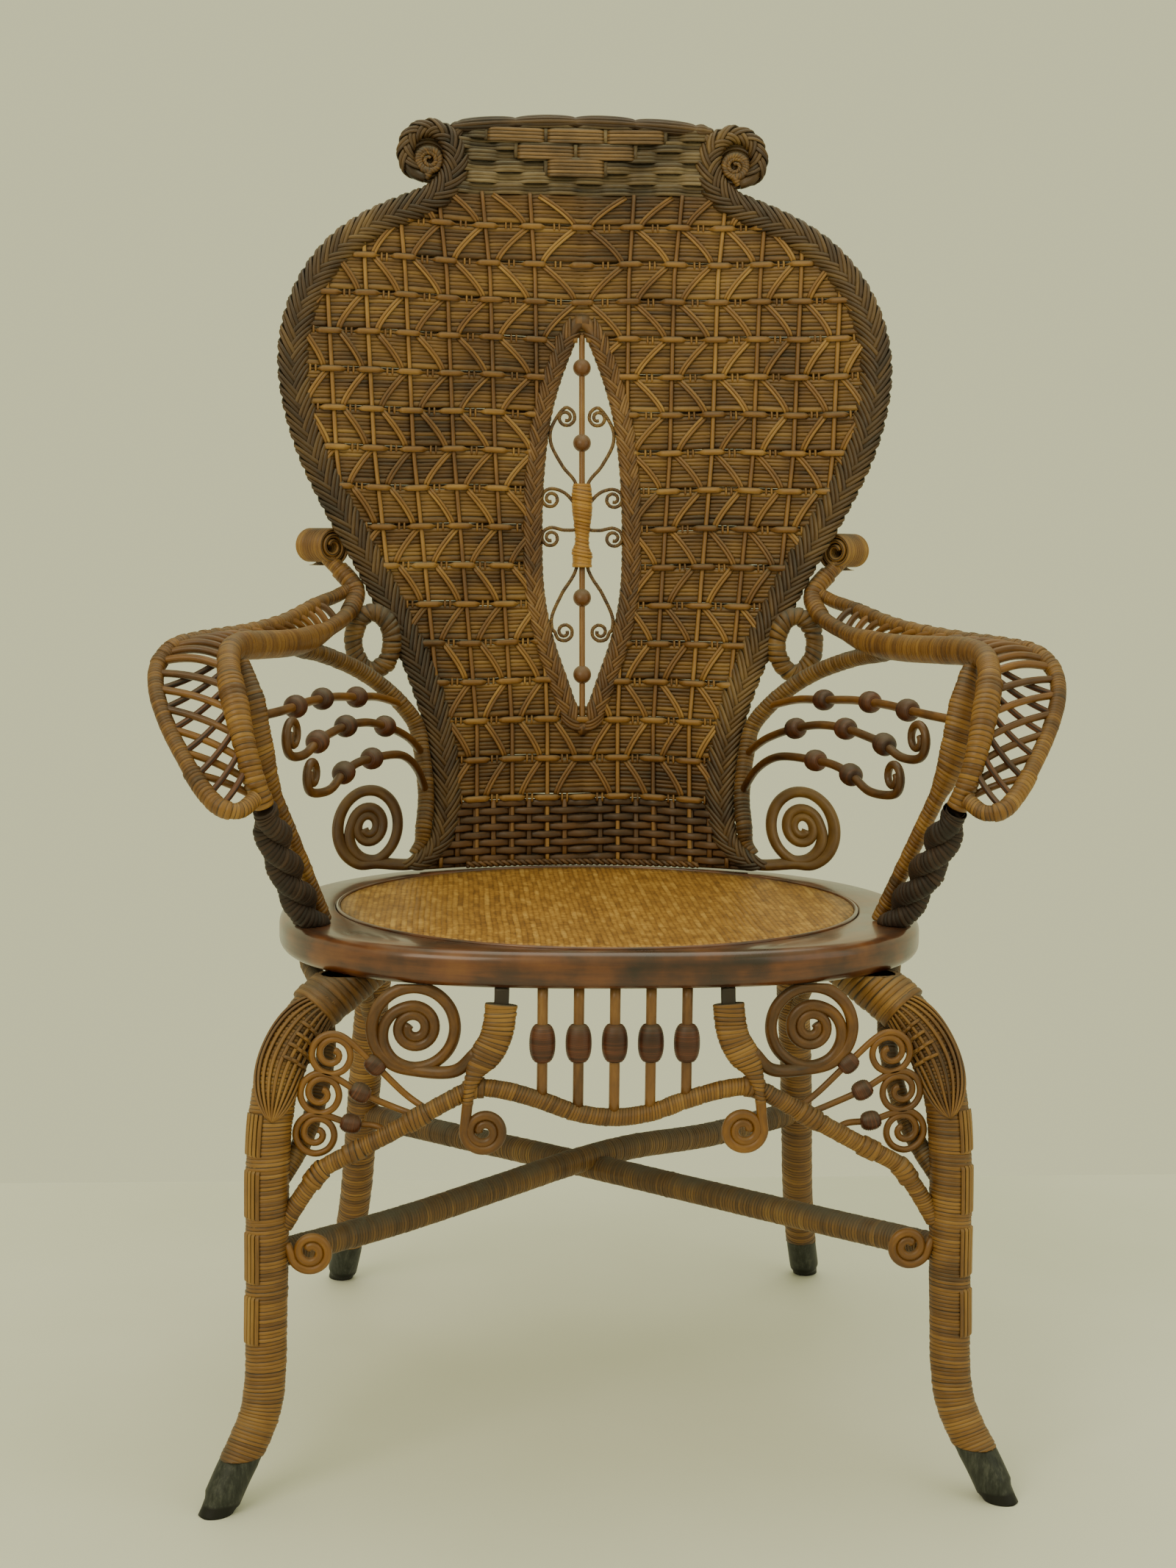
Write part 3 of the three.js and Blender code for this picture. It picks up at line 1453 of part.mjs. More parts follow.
addPiece('seat_frame', seatFrame, 'varnish');
addPiece('seat_cane', seatCane, 'cane');
addPiece('seat_spline', seatSpline, 'cane');
for (const kind of legKinds) {
  addPair(`${kind.name}_leg`, kind.solid, 'wrap');
  addPair(`${kind.name}_ferrule`, kind.ferrule, 'ferrule');
}
addPiece('stretcher_over', stretcherOver, 'wrap');
addPiece('stretcher_under', stretcherUnder, 'wrap');
addPair('side_brace', sideBrace, 'wrap');
addPiece('apron_rail', apronRail, 'wrap');
addPair('apron_bracket', apronBracket, 'wrap');
addPair('apron_scroll', apronScroll, 'wrap');
addPair('corner_curls', cornerCurls, 'bead');
spindlePlaces.forEach((x, i) => {
  addPiece(`spindle_${i + 1}`, cutBy(spindleSolid(x), railGrown), 'bead');
});
addPair('leg_scroll', legScroll, 'wrap');
addPiece('back_panel', backPanel, 'weave');
addPair('back_braid', braid, 'weave');
addPiece('crest_border', bent(crestFlat), 'weave');
addPair('volute_eye', bent(voluteEye), 'cane');
addPiece('slit_braid', bent(slitBraidFlat), 'weave');
addPiece('slit_rod', bent(slitRod), 'bead');
addPair('slit_scroll', bent(slitScroll), 'wrap');
addPiece('slit_binding', bent(slitBinding), 'cane');
addPair('arm_roll', armRoll, 'wrap');
addPair('arm_rail', armRail, 'wrap');
addPair('arm_wing', armWing, 'wrap');
addPair('arm_inner_post', innerPost, 'wrap');
addPair('arm_twist_post', twistPost, 'dark');
addPair('arm_stay', armStay, 'wrap');
addPair('arm_ring', armRing, 'weave');
armCanes.forEach((solid, i) => {
  addPair(`arm_cane_${i + 1}`, solid, 'bead');
});

// The chair stands with the middle of its depth over the origin.
chair.updateMatrixWorld(true);
const extent = new THREE.Box3().setFromObject(chair);
chair.position.y = -(extent.min.y + extent.max.y) / 2;

export default chair;
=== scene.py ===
import math

import bmesh
import bpy
import numpy as np
from mathutils import Matrix, Vector


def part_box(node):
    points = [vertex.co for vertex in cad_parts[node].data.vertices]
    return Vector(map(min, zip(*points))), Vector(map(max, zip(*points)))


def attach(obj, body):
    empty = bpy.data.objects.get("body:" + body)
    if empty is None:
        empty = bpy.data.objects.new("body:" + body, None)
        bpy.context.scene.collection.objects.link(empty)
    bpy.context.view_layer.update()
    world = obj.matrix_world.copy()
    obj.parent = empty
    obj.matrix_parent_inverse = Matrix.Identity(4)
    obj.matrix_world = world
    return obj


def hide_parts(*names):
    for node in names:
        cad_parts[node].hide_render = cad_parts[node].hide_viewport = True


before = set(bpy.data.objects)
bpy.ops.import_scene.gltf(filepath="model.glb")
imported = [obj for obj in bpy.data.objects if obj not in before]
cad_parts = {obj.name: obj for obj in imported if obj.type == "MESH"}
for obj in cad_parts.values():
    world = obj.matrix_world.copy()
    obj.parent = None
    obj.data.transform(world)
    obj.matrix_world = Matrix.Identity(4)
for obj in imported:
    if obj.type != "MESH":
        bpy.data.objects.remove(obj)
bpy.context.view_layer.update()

# Seat ring: a steam-bent hardwood hoop with a rounded rim, stained red-brown and varnished.
# A step on its inner edge carries the cane panel, and a groove holds the panel's hem.
METRES = 0.001
TURN = 2 * math.pi
ring_low, ring_high = (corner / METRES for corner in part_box("seat_frame"))
seat_top = ring_high.z
seat_under = ring_low.z
seat_half_width = ring_high.x
seat_front_reach = 231
seat_rear_reach = 235
seat_middle = 15
seat_squareness = 2.7
seat_round = 9
shift_back = ring_low.y - (seat_middle - seat_front_reach)
cane_half_width = 207
cane_half_depth = 199
cane_middle = 10
cane_land = 5
groove_width = 6
groove_depth = 7
groove_outer = cane_land + groove_width
lip_width = 2.2
lip_shoulder = 0.8
lip_fall = 0.4
lip_depth = 1.2
cane_thickness = 1.6
fit = 0.36
weld = 0.002


def linear(hex_colour):
    """An sRGB hex colour as linear red, green, blue and alpha."""
    shares = [int(hex_colour[i : i + 2], 16) / 255 for i in (1, 3, 5)]
    return [share / 12.92 if share <= 0.04045 else ((share + 0.055) / 1.055) ** 2.4 for share in shares] + [1]


def fill(tree, node, inputs):
    """Gives a node its inputs: values, other nodes' outputs, or nodes, whose first output is then meant."""
    for name, value in inputs.items():
        if isinstance(value, bpy.types.Node):
            value = value.outputs[0]
        if isinstance(value, bpy.types.NodeSocket):
            tree.links.new(value, node.inputs[name])
        else:
            node.inputs[name].default_value = value


def add_node(tree, kind, inputs=(), stops=(), **settings):
    """Adds one shader node. The stops of a colour ramp are pairs of a place and a hex colour."""
    new = tree.nodes.new("ShaderNode" + kind)
    for name, value in settings.items():
        setattr(new, name, value)
    fill(tree, new, dict(inputs))
    for place, colour in stops[2:]:
        new.color_ramp.elements.new(place)
    for i, (place, colour) in enumerate(stops):
        new.color_ramp.elements[i].position = place
        new.color_ramp.elements[i].color = linear(colour)
    return new


def new_material(name):
    material = bpy.data.materials.new(name)
    material.use_nodes = True
    tree = material.node_tree
    return material, tree, tree.nodes["Principled BSDF"]


def build_piece(name, blocks, material, slot, nodes=(), low=None, high=None):
    """One piece from blocks of rings. A block is its places, as rings by columns, and their UVs.

    All the blocks share one grid, whose joining faces are taken out, whose rings are closed
    by merging, and which is cut level at low and high where they are given."""
    columns = blocks[0][0].shape[1]
    places = np.concatenate([block[0] for block in blocks])
    uvs = np.concatenate([block[1] for block in blocks])
    shell = bmesh.new()
    bmesh.ops.create_grid(shell, x_segments=columns - 1, y_segments=len(places) - 1, size=0.5)
    shell.faces.ensure_lookup_table()
    last = np.cumsum([len(block[0]) for block in blocks])[:-1] - 1
    joining = [shell.faces[row * (columns - 1) + column] for row in last for column in range(columns - 1)]
    bmesh.ops.delete(shell, geom=joining, context="FACES")
    mesh = bpy.data.meshes.new(name)
    shell.to_mesh(mesh)
    shell.free()
    corners = places.reshape(-1, 3) + np.array([0, shift_back, 0])
    mesh.vertices.foreach_set("co", (corners * METRES).astype(np.float32).ravel())
    layer = mesh.uv_layers.new(name="fibre")
    carried = np.empty(len(mesh.loops), np.int32)
    mesh.loops.foreach_get("vertex_index", carried)
    layer.uv.foreach_set("vector", uvs.reshape(-1, 2)[carried].astype(np.float32).ravel())
    shell = bmesh.new()
    shell.from_mesh(mesh)
    bmesh.ops.remove_doubles(shell, verts=shell.verts, dist=weld * METRES)
    for height, side in ((low, -1), (high, 1)):
        if height is None:
            continue
        everything = shell.verts[:] + shell.edges[:] + shell.faces[:]
        plane = {"plane_co": (0, 0, height * METRES), "plane_no": (0, 0, side)}
        bmesh.ops.bisect_plane(shell, geom=everything, dist=weld * METRES, clear_outer=True, **plane)
        bmesh.ops.holes_fill(shell, edges=[edge for edge in shell.edges if edge.is_boundary], sides=0)
    bmesh.ops.recalc_face_normals(shell, faces=shell.faces)
    shell.to_mesh(mesh)
    shell.free()
    mesh.polygons.foreach_set("use_smooth", [True] * len(mesh.polygons))
    mesh.materials.append(material)
    piece = bpy.data.objects.new(name, mesh)
    bpy.context.collection.objects.link(piece)
    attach(piece, "root")
    if nodes:
        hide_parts(*nodes)


def seat_edge(angles, inset=0):
    """The seat's outline: fuller than an ellipse in front, a plain ellipse behind."""
    cosine, sine = np.cos(angles), np.sin(angles)
    power = 2 / seat_squareness
    full = (seat_half_width - inset) * np.sign(cosine) * np.abs(cosine) ** power
    x = np.where(sine >= 0, (seat_half_width - inset) * cosine, full)
    behind = seat_middle + (seat_rear_reach - inset) * sine
    before = seat_middle - (seat_front_reach - inset) * np.abs(sine) ** power
    return x, np.where(sine >= 0, behind, before)


def cane_edge(angles, spare=0):
    x = (cane_half_width + spare) * np.cos(angles)
    return x, cane_middle + (cane_half_depth + spare) * np.sin(angles)


def level_ring(x, y, height):
    return np.stack([x, y, np.full(len(x), height)], axis=1)


def hoop(profile, angles):
    """A closed hoop. A row of the profile is the outline it follows, the distance from it and the height."""
    places = np.array([level_ring(*outline(angles, away), height) for outline, away, height in profile])
    around = np.linalg.norm(np.diff(places[0], axis=0, append=places[0][:1]), axis=1).cumsum() * METRES
    across = np.linalg.norm(np.diff(places[:, 0], axis=0, prepend=places[:1, 0]), axis=1).cumsum() * METRES
    return places, np.stack(np.meshgrid(around, across), axis=2)


def quarter_round(outline, radius, height, start, steps=7):
    """Profile rows of a rounded edge round the given height, from one angle on for a quarter."""
    return [
        (outline, radius * (1 - math.cos(angle)), height + radius * math.sin(angle))
        for angle in np.linspace(start, start + TURN / 4, steps)
    ]


rim_angles = np.linspace(0, TURN, 241)
step_height = seat_top - cane_thickness - fit
ring_profile = [
    *quarter_round(seat_edge, seat_round, seat_under + seat_round, -TURN / 4),
    *quarter_round(seat_edge, seat_round, seat_top - seat_round, 0),
    (cane_edge, groove_outer + lip_width, seat_top),
    (cane_edge, groove_outer + lip_shoulder, seat_top - lip_fall),
    (cane_edge, groove_outer, seat_top - lip_depth),
    (cane_edge, groove_outer, seat_top - groove_depth),
    (cane_edge, cane_land, seat_top - groove_depth),
    (cane_edge, cane_land, step_height),
    (cane_edge, 0, step_height),
    (cane_edge, 0, seat_under),
]
ring_profile.append(ring_profile[0])


def varnished_beech():
    """Stained beech under old varnish: dark red-brown, long even grain, glossy, dull where it is worn."""
    material, tree, surface = new_material("varnished_beech")
    fibre_uv = add_node(tree, "UVMap", uv_map="fibre")
    place = add_node(tree, "TexCoord").outputs["Object"]
    stretch = add_node(tree, "Mapping", {"Vector": fibre_uv, "Scale": (14, 150, 1)})
    grain = add_node(tree, "TexNoise", {"Vector": stretch, "Scale": 1, "Detail": 5, "Roughness": 0.6})
    cloud = add_node(tree, "TexNoise", {"Vector": place, "Scale": 24, "Detail": 4})
    depth = add_node(tree, "Mix", {0: 0.65, 2: grain, 3: cloud})
    tones = [(0.34, "#250f06"), (0.46, "#46210b"), (0.56, "#653512"), (0.7, "#804c1c")]
    stain = add_node(tree, "ValToRGB", {"Fac": depth}, tones)
    normal = add_node(tree, "NewGeometry").outputs["Normal"]
    upward = add_node(tree, "SeparateXYZ", {"Vector": normal}).outputs["Z"]
    speck = add_node(tree, "TexNoise", {"Vector": place, "Scale": 60, "Detail": 4})
    settled = add_node(tree, "Math", {0: upward, 1: speck}, operation="MULTIPLY", use_clamp=True)
    film = add_node(tree, "Math", {0: settled, 1: 0.2}, operation="MULTIPLY")
    dusty = add_node(tree, "Mix", {0: film, 6: stain, 7: linear("#8d8574")}, data_type="RGBA")
    rough = add_node(tree, "MapRange", {0: cloud, 3: 0.2, 4: 0.42})
    bump = add_node(tree, "Bump", {"Height": grain, "Strength": 0.12, "Distance": 0.0006})
    fill(tree, surface, {"Base Color": dusty.outputs[2], "Roughness": rough, "Normal": bump})
    fill(tree, surface, {"Coat Weight": 0.45, "Coat Roughness": 0.12})
    return material


seat_wood = varnished_beech()
build_piece("seat_ring", [hoop(ring_profile, rim_angles)], seat_wood, "varnish", ["seat_frame"])

# Cane panel: pressed sheet cane, woven by machine from split rattan and moulded into a shallow dish.
# Its hem turns down into the ring's groove. The warp shows as close upright lines.
warp_spacing = 4.4
weft_spacing = 3.1
sag = 1.4
hem_outer = cane_land + fit + cane_thickness
hem_inner = hem_outer - cane_thickness
hem_floor = seat_top - groove_depth + fit


def dish(top, bottom):
    """The panel from its middle out over the hem and back under itself."""
    sagging = [(share, top - sag * math.cos(share * TURN / 4) ** 0.5) for share in np.linspace(0, 1, 14)]
    rows = [(share, hem_outer, height) for share, height in sagging]
    rows += [(1, hem_outer, bottom), (1, hem_inner, bottom), (1, hem_inner, top - cane_thickness)]
    rows += [(share, hem_inner, height - cane_thickness) for share, height in sagging[-2::-1]]
    rings = []
    for share, distance, height in rows:
        x, y = cane_edge(rim_angles, distance)
        rings.append(level_ring(x * share, cane_middle + (y - cane_middle) * share, height))
    places = np.array(rings)
    return places, places[:, :, :2] * METRES


def pressed_cane():
    """Pressed cane: golden, satin, close columns with pale slubs, browner where worn. Each column is painted
    lighter at its crown, and painted shade darkens the tiny holes.
    """
    material, tree, surface = new_material("pressed_sheet_cane")
    place = add_node(tree, "TexCoord").outputs["Object"]
    axes = add_node(tree, "SeparateXYZ", {"Vector": place})
    wobble = add_node(tree, "TexNoise", {"Vector": place, "Scale": 9, "Detail": 2})
    columns = {0: axes.outputs["X"], 1: 1 / METRES / warp_spacing, 2: wobble}
    column = add_node(tree, "Math", columns, operation="MULTIPLY_ADD")
    number = add_node(tree, "Math", {0: column}, operation="FLOOR")
    random = add_node(tree, "TexWhiteNoise", {"W": number}, noise_dimensions="1D").outputs["Value"]
    waved = add_node(tree, "Math", {0: column, 1: TURN / 2}, operation="MULTIPLY")
    crown = add_node(tree, "Math", {0: waved}, operation="SINE")
    crown = add_node(tree, "Math", {0: crown}, operation="ABSOLUTE")
    rows = {0: axes.outputs["Y"], 1: TURN / 2 / METRES / weft_spacing, 2: random}
    weft = add_node(tree, "Math", rows, operation="MULTIPLY_ADD")
    weft = add_node(tree, "Math", {0: weft}, operation="SINE")
    weft = add_node(tree, "Math", {0: weft}, operation="ABSOLUTE")
    spot = add_node(tree, "CombineXYZ", {"X": number, "Y": axes.outputs["Y"]})
    long = add_node(tree, "Mapping", {"Vector": spot, "Scale": (0.83, 26, 1)})
    slub = add_node(tree, "TexNoise", {"Vector": long, "Scale": 1, "Detail": 3, "Roughness": 0.6})
    short = add_node(tree, "Mapping", {"Vector": place, "Scale": (260, 170, 1)})
    grain = add_node(tree, "TexNoise", {"Vector": short, "Scale": 1, "Detail": 4, "Roughness": 0.7})
    tone = slub
    # The crown share paints each column lighter along its middle: painted shading of its rounded face.
    for part, share in ((random, 0.12), (grain, 0.85), (crown, 0.12)):
        tone = add_node(tree, "Math", {0: part, 1: share, 2: tone}, operation="MULTIPLY_ADD")
    spread = add_node(tree, "MapRange", {0: tone, 1: 0.65, 2: 1.4})
    stops = [(0.2, "#734e1a"), (0.46, "#966924"), (0.62, "#ab7d32"), (0.9, "#c99f54")]
    colour = add_node(tree, "ValToRGB", {"Fac": spread}, stops)
    # Painted shade: where columns and weft rows part, the weave's holes are darkened as if the shade under
    # the seat showed through them.
    gap = add_node(tree, "Math", {0: crown, 1: weft}, operation="MAXIMUM")
    hole = add_node(tree, "MapRange", {0: gap, 1: 0.25, 2: 0.5, 3: 0.58, 4: 0})
    broken = add_node(tree, "MapRange", {0: grain, 1: 0.62, 2: 0.45})
    dark = add_node(tree, "Math", {0: hole, 1: broken}, operation="MULTIPLY")
    hole_shaded = add_node(tree, "Mix", {0: dark, 6: colour, 7: linear("#2e1c09")}, data_type="RGBA")
    worn = add_node(tree, "TexNoise", {"Vector": place, "Scale": 7, "Detail": 3})
    browned = add_node(tree, "MapRange", {0: worn, 1: 0.4, 2: 0.7, 3: 0, 4: 0.35})
    patina = add_node(tree, "Mix", {0: browned, 6: hole_shaded.outputs[2], 7: linear("#7d5a28")}, data_type="RGBA")
    relief = add_node(tree, "Math", {0: weft, 1: 0.4, 2: crown}, operation="MULTIPLY_ADD")
    bump = add_node(tree, "Bump", {"Height": relief, "Strength": 0.5, "Distance": 0.0005})
    fill(tree, surface, {"Base Color": patina.outputs[2], "Roughness": 0.5, "Normal": bump})
    return material


build_piece("cane_panel", [dish(seat_top, hem_floor)], pressed_cane(), "cane", ["seat_cane"])

# Spline: a reed wedged and glued into the groove over the hem, stained with the wood. It stands a little
# proud of it.
spline_inner = hem_outer + fit
spline_outer = groove_outer - fit
spline_middle = (spline_inner + spline_outer) / 2
spline_half = (spline_outer - spline_inner) / 2
spline_crown = 1.3
spline_profile = [(cane_edge, spline_inner, hem_floor)]
for angle in np.linspace(TURN / 2, 0, 9):
    distance = spline_middle + spline_half * math.cos(angle)
    spline_profile.append((cane_edge, distance, seat_top + spline_crown * math.sin(angle)))
spline_profile += [(cane_edge, spline_outer, hem_floor), spline_profile[0]]
build_piece("cane_spline", [hoop(spline_profile, rim_angles)], seat_wood, "varnish", ["seat_spline"])

# Front legs: bent rattan poles, wound from seat to ferrule with narrow split cane. Flat binder strips
# run down the outside under blocks of winding, and a leaf of thin canes is laced over each knee.
front_foot_spread = 294
front_foot_reach = 237
back_foot_spread = 229
back_foot_reach = 284
front_leg_inset = 24
back_leg_inset = 18
knee_radius = 18
ankle_radius = 14
back_leg_radius = 15.5
ferrule_height = 38
ferrule_radius = 14
front_leg_shares = [
    (-0.23, -0.14, 1.053), (-0.05, -0.04, 1.015), (0.13, 0.06, 0.977), (0.38, 0.22, 0.922),
    (0.55, 0.39, 0.848), (0.625, 0.5, 0.755), (0.65, 0.55, 0.659), (0.655, 0.585, 0.556),
    (0.657, 0.608, 0.439), (0.663, 0.639, 0.336), (0.667, 0.68, 0.245), (0.698, 0.732, 0.176),
    (0.779, 0.804, 0.121), (0.884, 0.897, 0.067), (1, 1, 0), (1.04, 1.03, -0.022),
]
forwards = np.array([0, -1, 0])
sideways = np.array([1, 0, 0])
upwards = np.array([0, 0, 1])
leg_wrap = 2.9
leaf_canes = 10
leaf_top_share = 0.955
leaf_foot_share = 0.735
leaf_middle = TURN / 4 + 0.12
leaf_spread = 1.5
leaf_lacings = 4
strip_count = 5
strip_first_angle = TURN / 4 - 0.38
strip_angle = 0.23
strip_block = 47


def seat_half_width_at(depth, inset=0):
    behind = depth > seat_middle
    reach = (seat_rear_reach if behind else seat_front_reach) - inset
    power = 2 if behind else seat_squareness
    share = min(abs(depth - seat_middle) / reach, 1)
    return (seat_half_width - inset) * (1 - share**power) ** (1 / power)


def mix(start, end, share):
    return start + (end - start) * share


def unit(vectors):
    return vectors / np.linalg.norm(vectors, axis=-1, keepdims=True)


class Line:
    """A smooth line through points, the sizes it carries at each of them, and the lengths along it."""

    def __init__(self, points, sizes=0, fineness=14):
        points = np.array(points, float)
        sizes = np.broadcast_to(np.array(sizes, float).T, (*np.shape(sizes)[1:], len(points))).T
        sizes = sizes.reshape(len(points), -1)
        padded = np.vstack([2 * points[0] - points[1], points, 2 * points[-1] - points[-2]])
        spans = np.sqrt(np.linalg.norm(np.diff(padded, axis=0), axis=1))[:, None]
        before, start, end, after = padded[:-3], padded[1:-2], padded[2:-1], padded[3:]
        first, middle, final = spans[:-2], spans[1:-1], spans[2:]
        leaving = (start - before) / first - (end - before) / (first + middle) + (end - start) / middle
        arriving = (end - start) / middle - (after - start) / (middle + final) + (after - end) / final
        leaving, arriving = leaving * middle, arriving * middle
        share = np.linspace(0, 1, fineness, endpoint=False)[:, None, None]
        square = 3 * (end - start) - 2 * leaving - arriving
        cube = 2 * (start - end) + leaving + arriving
        run = start + leaving * share + square * share**2 + cube * share**3
        self.places = np.vstack([run.transpose(1, 0, 2).reshape(-1, 3), points[-1:]])
        self.marks = np.linspace(0, len(points) - 1, len(self.places))
        whole = np.arange(len(points))
        self.sizes = np.stack([np.interp(self.marks, whole, column) for column in sizes.T], axis=1)
        steps = np.linalg.norm(np.diff(self.places, axis=0), axis=1)
        self.lengths = np.concatenate([[0], steps.cumsum()])
        self.length = self.lengths[-1]

    def at(self, lengths):
        """Places and sizes at these lengths from the start."""
        places = np.stack([np.interp(lengths, self.lengths, column) for column in self.places.T], axis=-1)
        sizes = np.stack([np.interp(lengths, self.lengths, column) for column in self.sizes.T], axis=-1)
        return places, sizes

    def to_mark(self, mark):
        """The length at a mark. Marks count the points that the line was drawn through."""
        return np.interp(mark, self.marks, self.lengths)

    def to_height(self, height):
        """The length at which the line first passes a height."""
        heights = self.places[:, 2]
        passed = np.nonzero(np.diff(np.sign(heights - height)))[0][0]
        share = (height - heights[passed]) / (heights[passed + 1] - heights[passed])
        return mix(self.lengths[passed], self.lengths[passed + 1], share)

    def even(self, step):
        """Places and sizes every step along the line."""
        return self.at(np.linspace(0, self.length, max(int(self.length / step), 2)))


def cross_directions(places, facing):
    """For each place on a line: along it, across it, and the way that it faces."""
    along = unit(np.gradient(places, axis=0))
    facing = np.broadcast_to(facing, along.shape)
    front = unit(facing - (facing * along).sum(axis=1, keepdims=True) * along)
    return along, np.cross(front, along), front


def tube(places, half_width, half_depth, facing, sides, squareness=1.0, lean=0):
    """Rings round a line, tipped at both ends. Squareness below one makes them boxier, lean slants them."""
    angles = np.linspace(0, TURN, sides + 1)
    angles[-1] = 0
    cosine, sine = np.cos(angles), np.sin(angles)
    cosine = np.sign(cosine) * np.abs(cosine) ** squareness
    sine = np.sign(sine) * np.abs(sine) ** squareness
    along, wide, front = cross_directions(places, facing)
    rings = places[:, None]
    for way, size, shape in ((wide, half_width, cosine), (front, half_depth, sine), (along, lean, cosine)):
        rings = rings + (way * np.reshape(size, (-1, 1)))[:, None] * shape[:, None]
    tips = [np.repeat(places[[end], None], sides + 1, axis=1) for end in (0, -1)]
    return np.concatenate([tips[0], rings, tips[1]])


def tube_uvs(lengthwise, around):
    """UVs for a tube's rings and its two tips."""
    down = np.concatenate([lengthwise[:1], lengthwise, lengthwise[-1:]])
    return np.stack(np.meshgrid(down, around, indexing="ij"), axis=2)


def fibre(places, half_width, half_depth, facing, number, sides=6, squareness=1.0):
    """One reed or strip along a line, closed at its ends. Its UVs are the length along it and its number."""
    places = np.asarray(places, float)
    rings = tube(places, half_width, half_depth, facing, sides, squareness)
    lengths = np.concatenate([[0], np.linalg.norm(np.diff(places, axis=0), axis=1).cumsum()]) * METRES
    return rings, tube_uvs(lengths, number + np.linspace(0, 1, sides + 1) * 0.999)


def winding(line, wrap, seed, facing=forwards, sides=16, start=0, end=None, groove=0.32, loose=0.12, proud=0):
    """Split cane wound round a pole. Its UVs are the length round the pole and the number of the wrap."""
    random = np.random.default_rng(seed)
    end = line.length if end is None else end
    count = max(int((end - start) / wrap), 2)
    pitch = (end - start) / count
    edge = np.array([0, 0.1, 0.5, 0.9])
    sink = np.array([1, 0.12, -0.25, 0.12])
    wraps = np.arange(count)[:, None]
    shifts = random.normal(0, loose * 0.35, (count, 1)).clip(-0.3, 0.3)
    stations = (start + (wraps + edge + shifts * (edge > 0)) * pitch).ravel()
    swell = random.normal(0, loose, (count, 1)) * (edge > 0)
    depth = groove * random.uniform(0.6, 1.5, (count, 1)) * sink * np.where(sink > 0, 1, 0.5)
    grown = (swell * 0.8 - depth).ravel() + proud
    numbers = (wraps + edge * 0.5).ravel() + seed % 97 * 200
    stations, grown = np.append(stations, end), np.append(grown, -groove)
    numbers = np.append(numbers, numbers[-1])
    places, sizes = line.at(stations)
    lean = np.interp(stations, [start, start + pitch * 2, end - pitch * 2, end], [0, 0.5, 0.5, 0]) * pitch
    rings = tube(places, sizes[:, 0] + grown, sizes[:, -1] + grown, facing, sides, lean=lean)
    around = np.linspace(0, 1, sides + 1) * TURN * sizes.mean() * METRES
    return rings, tube_uvs(numbers, around)[:, :, ::-1]


def other_side(block):
    """The same block mirrored to the chair's left."""
    return block[0] * np.array([-1, 1, 1]), block[1]


def build_pair(name, seeds, make, material, slot, node=None, **cuts):
    """One piece on each side of the chair. make gives the blocks on the right for a seed."""
    for side, seed in zip(("right", "left"), seeds):
        blocks = make(seed)
        if side == "left":
            blocks = [other_side(block) for block in blocks]
        build_piece(name.format(side), blocks, material, slot, [node.format(side)] if node else [], **cuts)


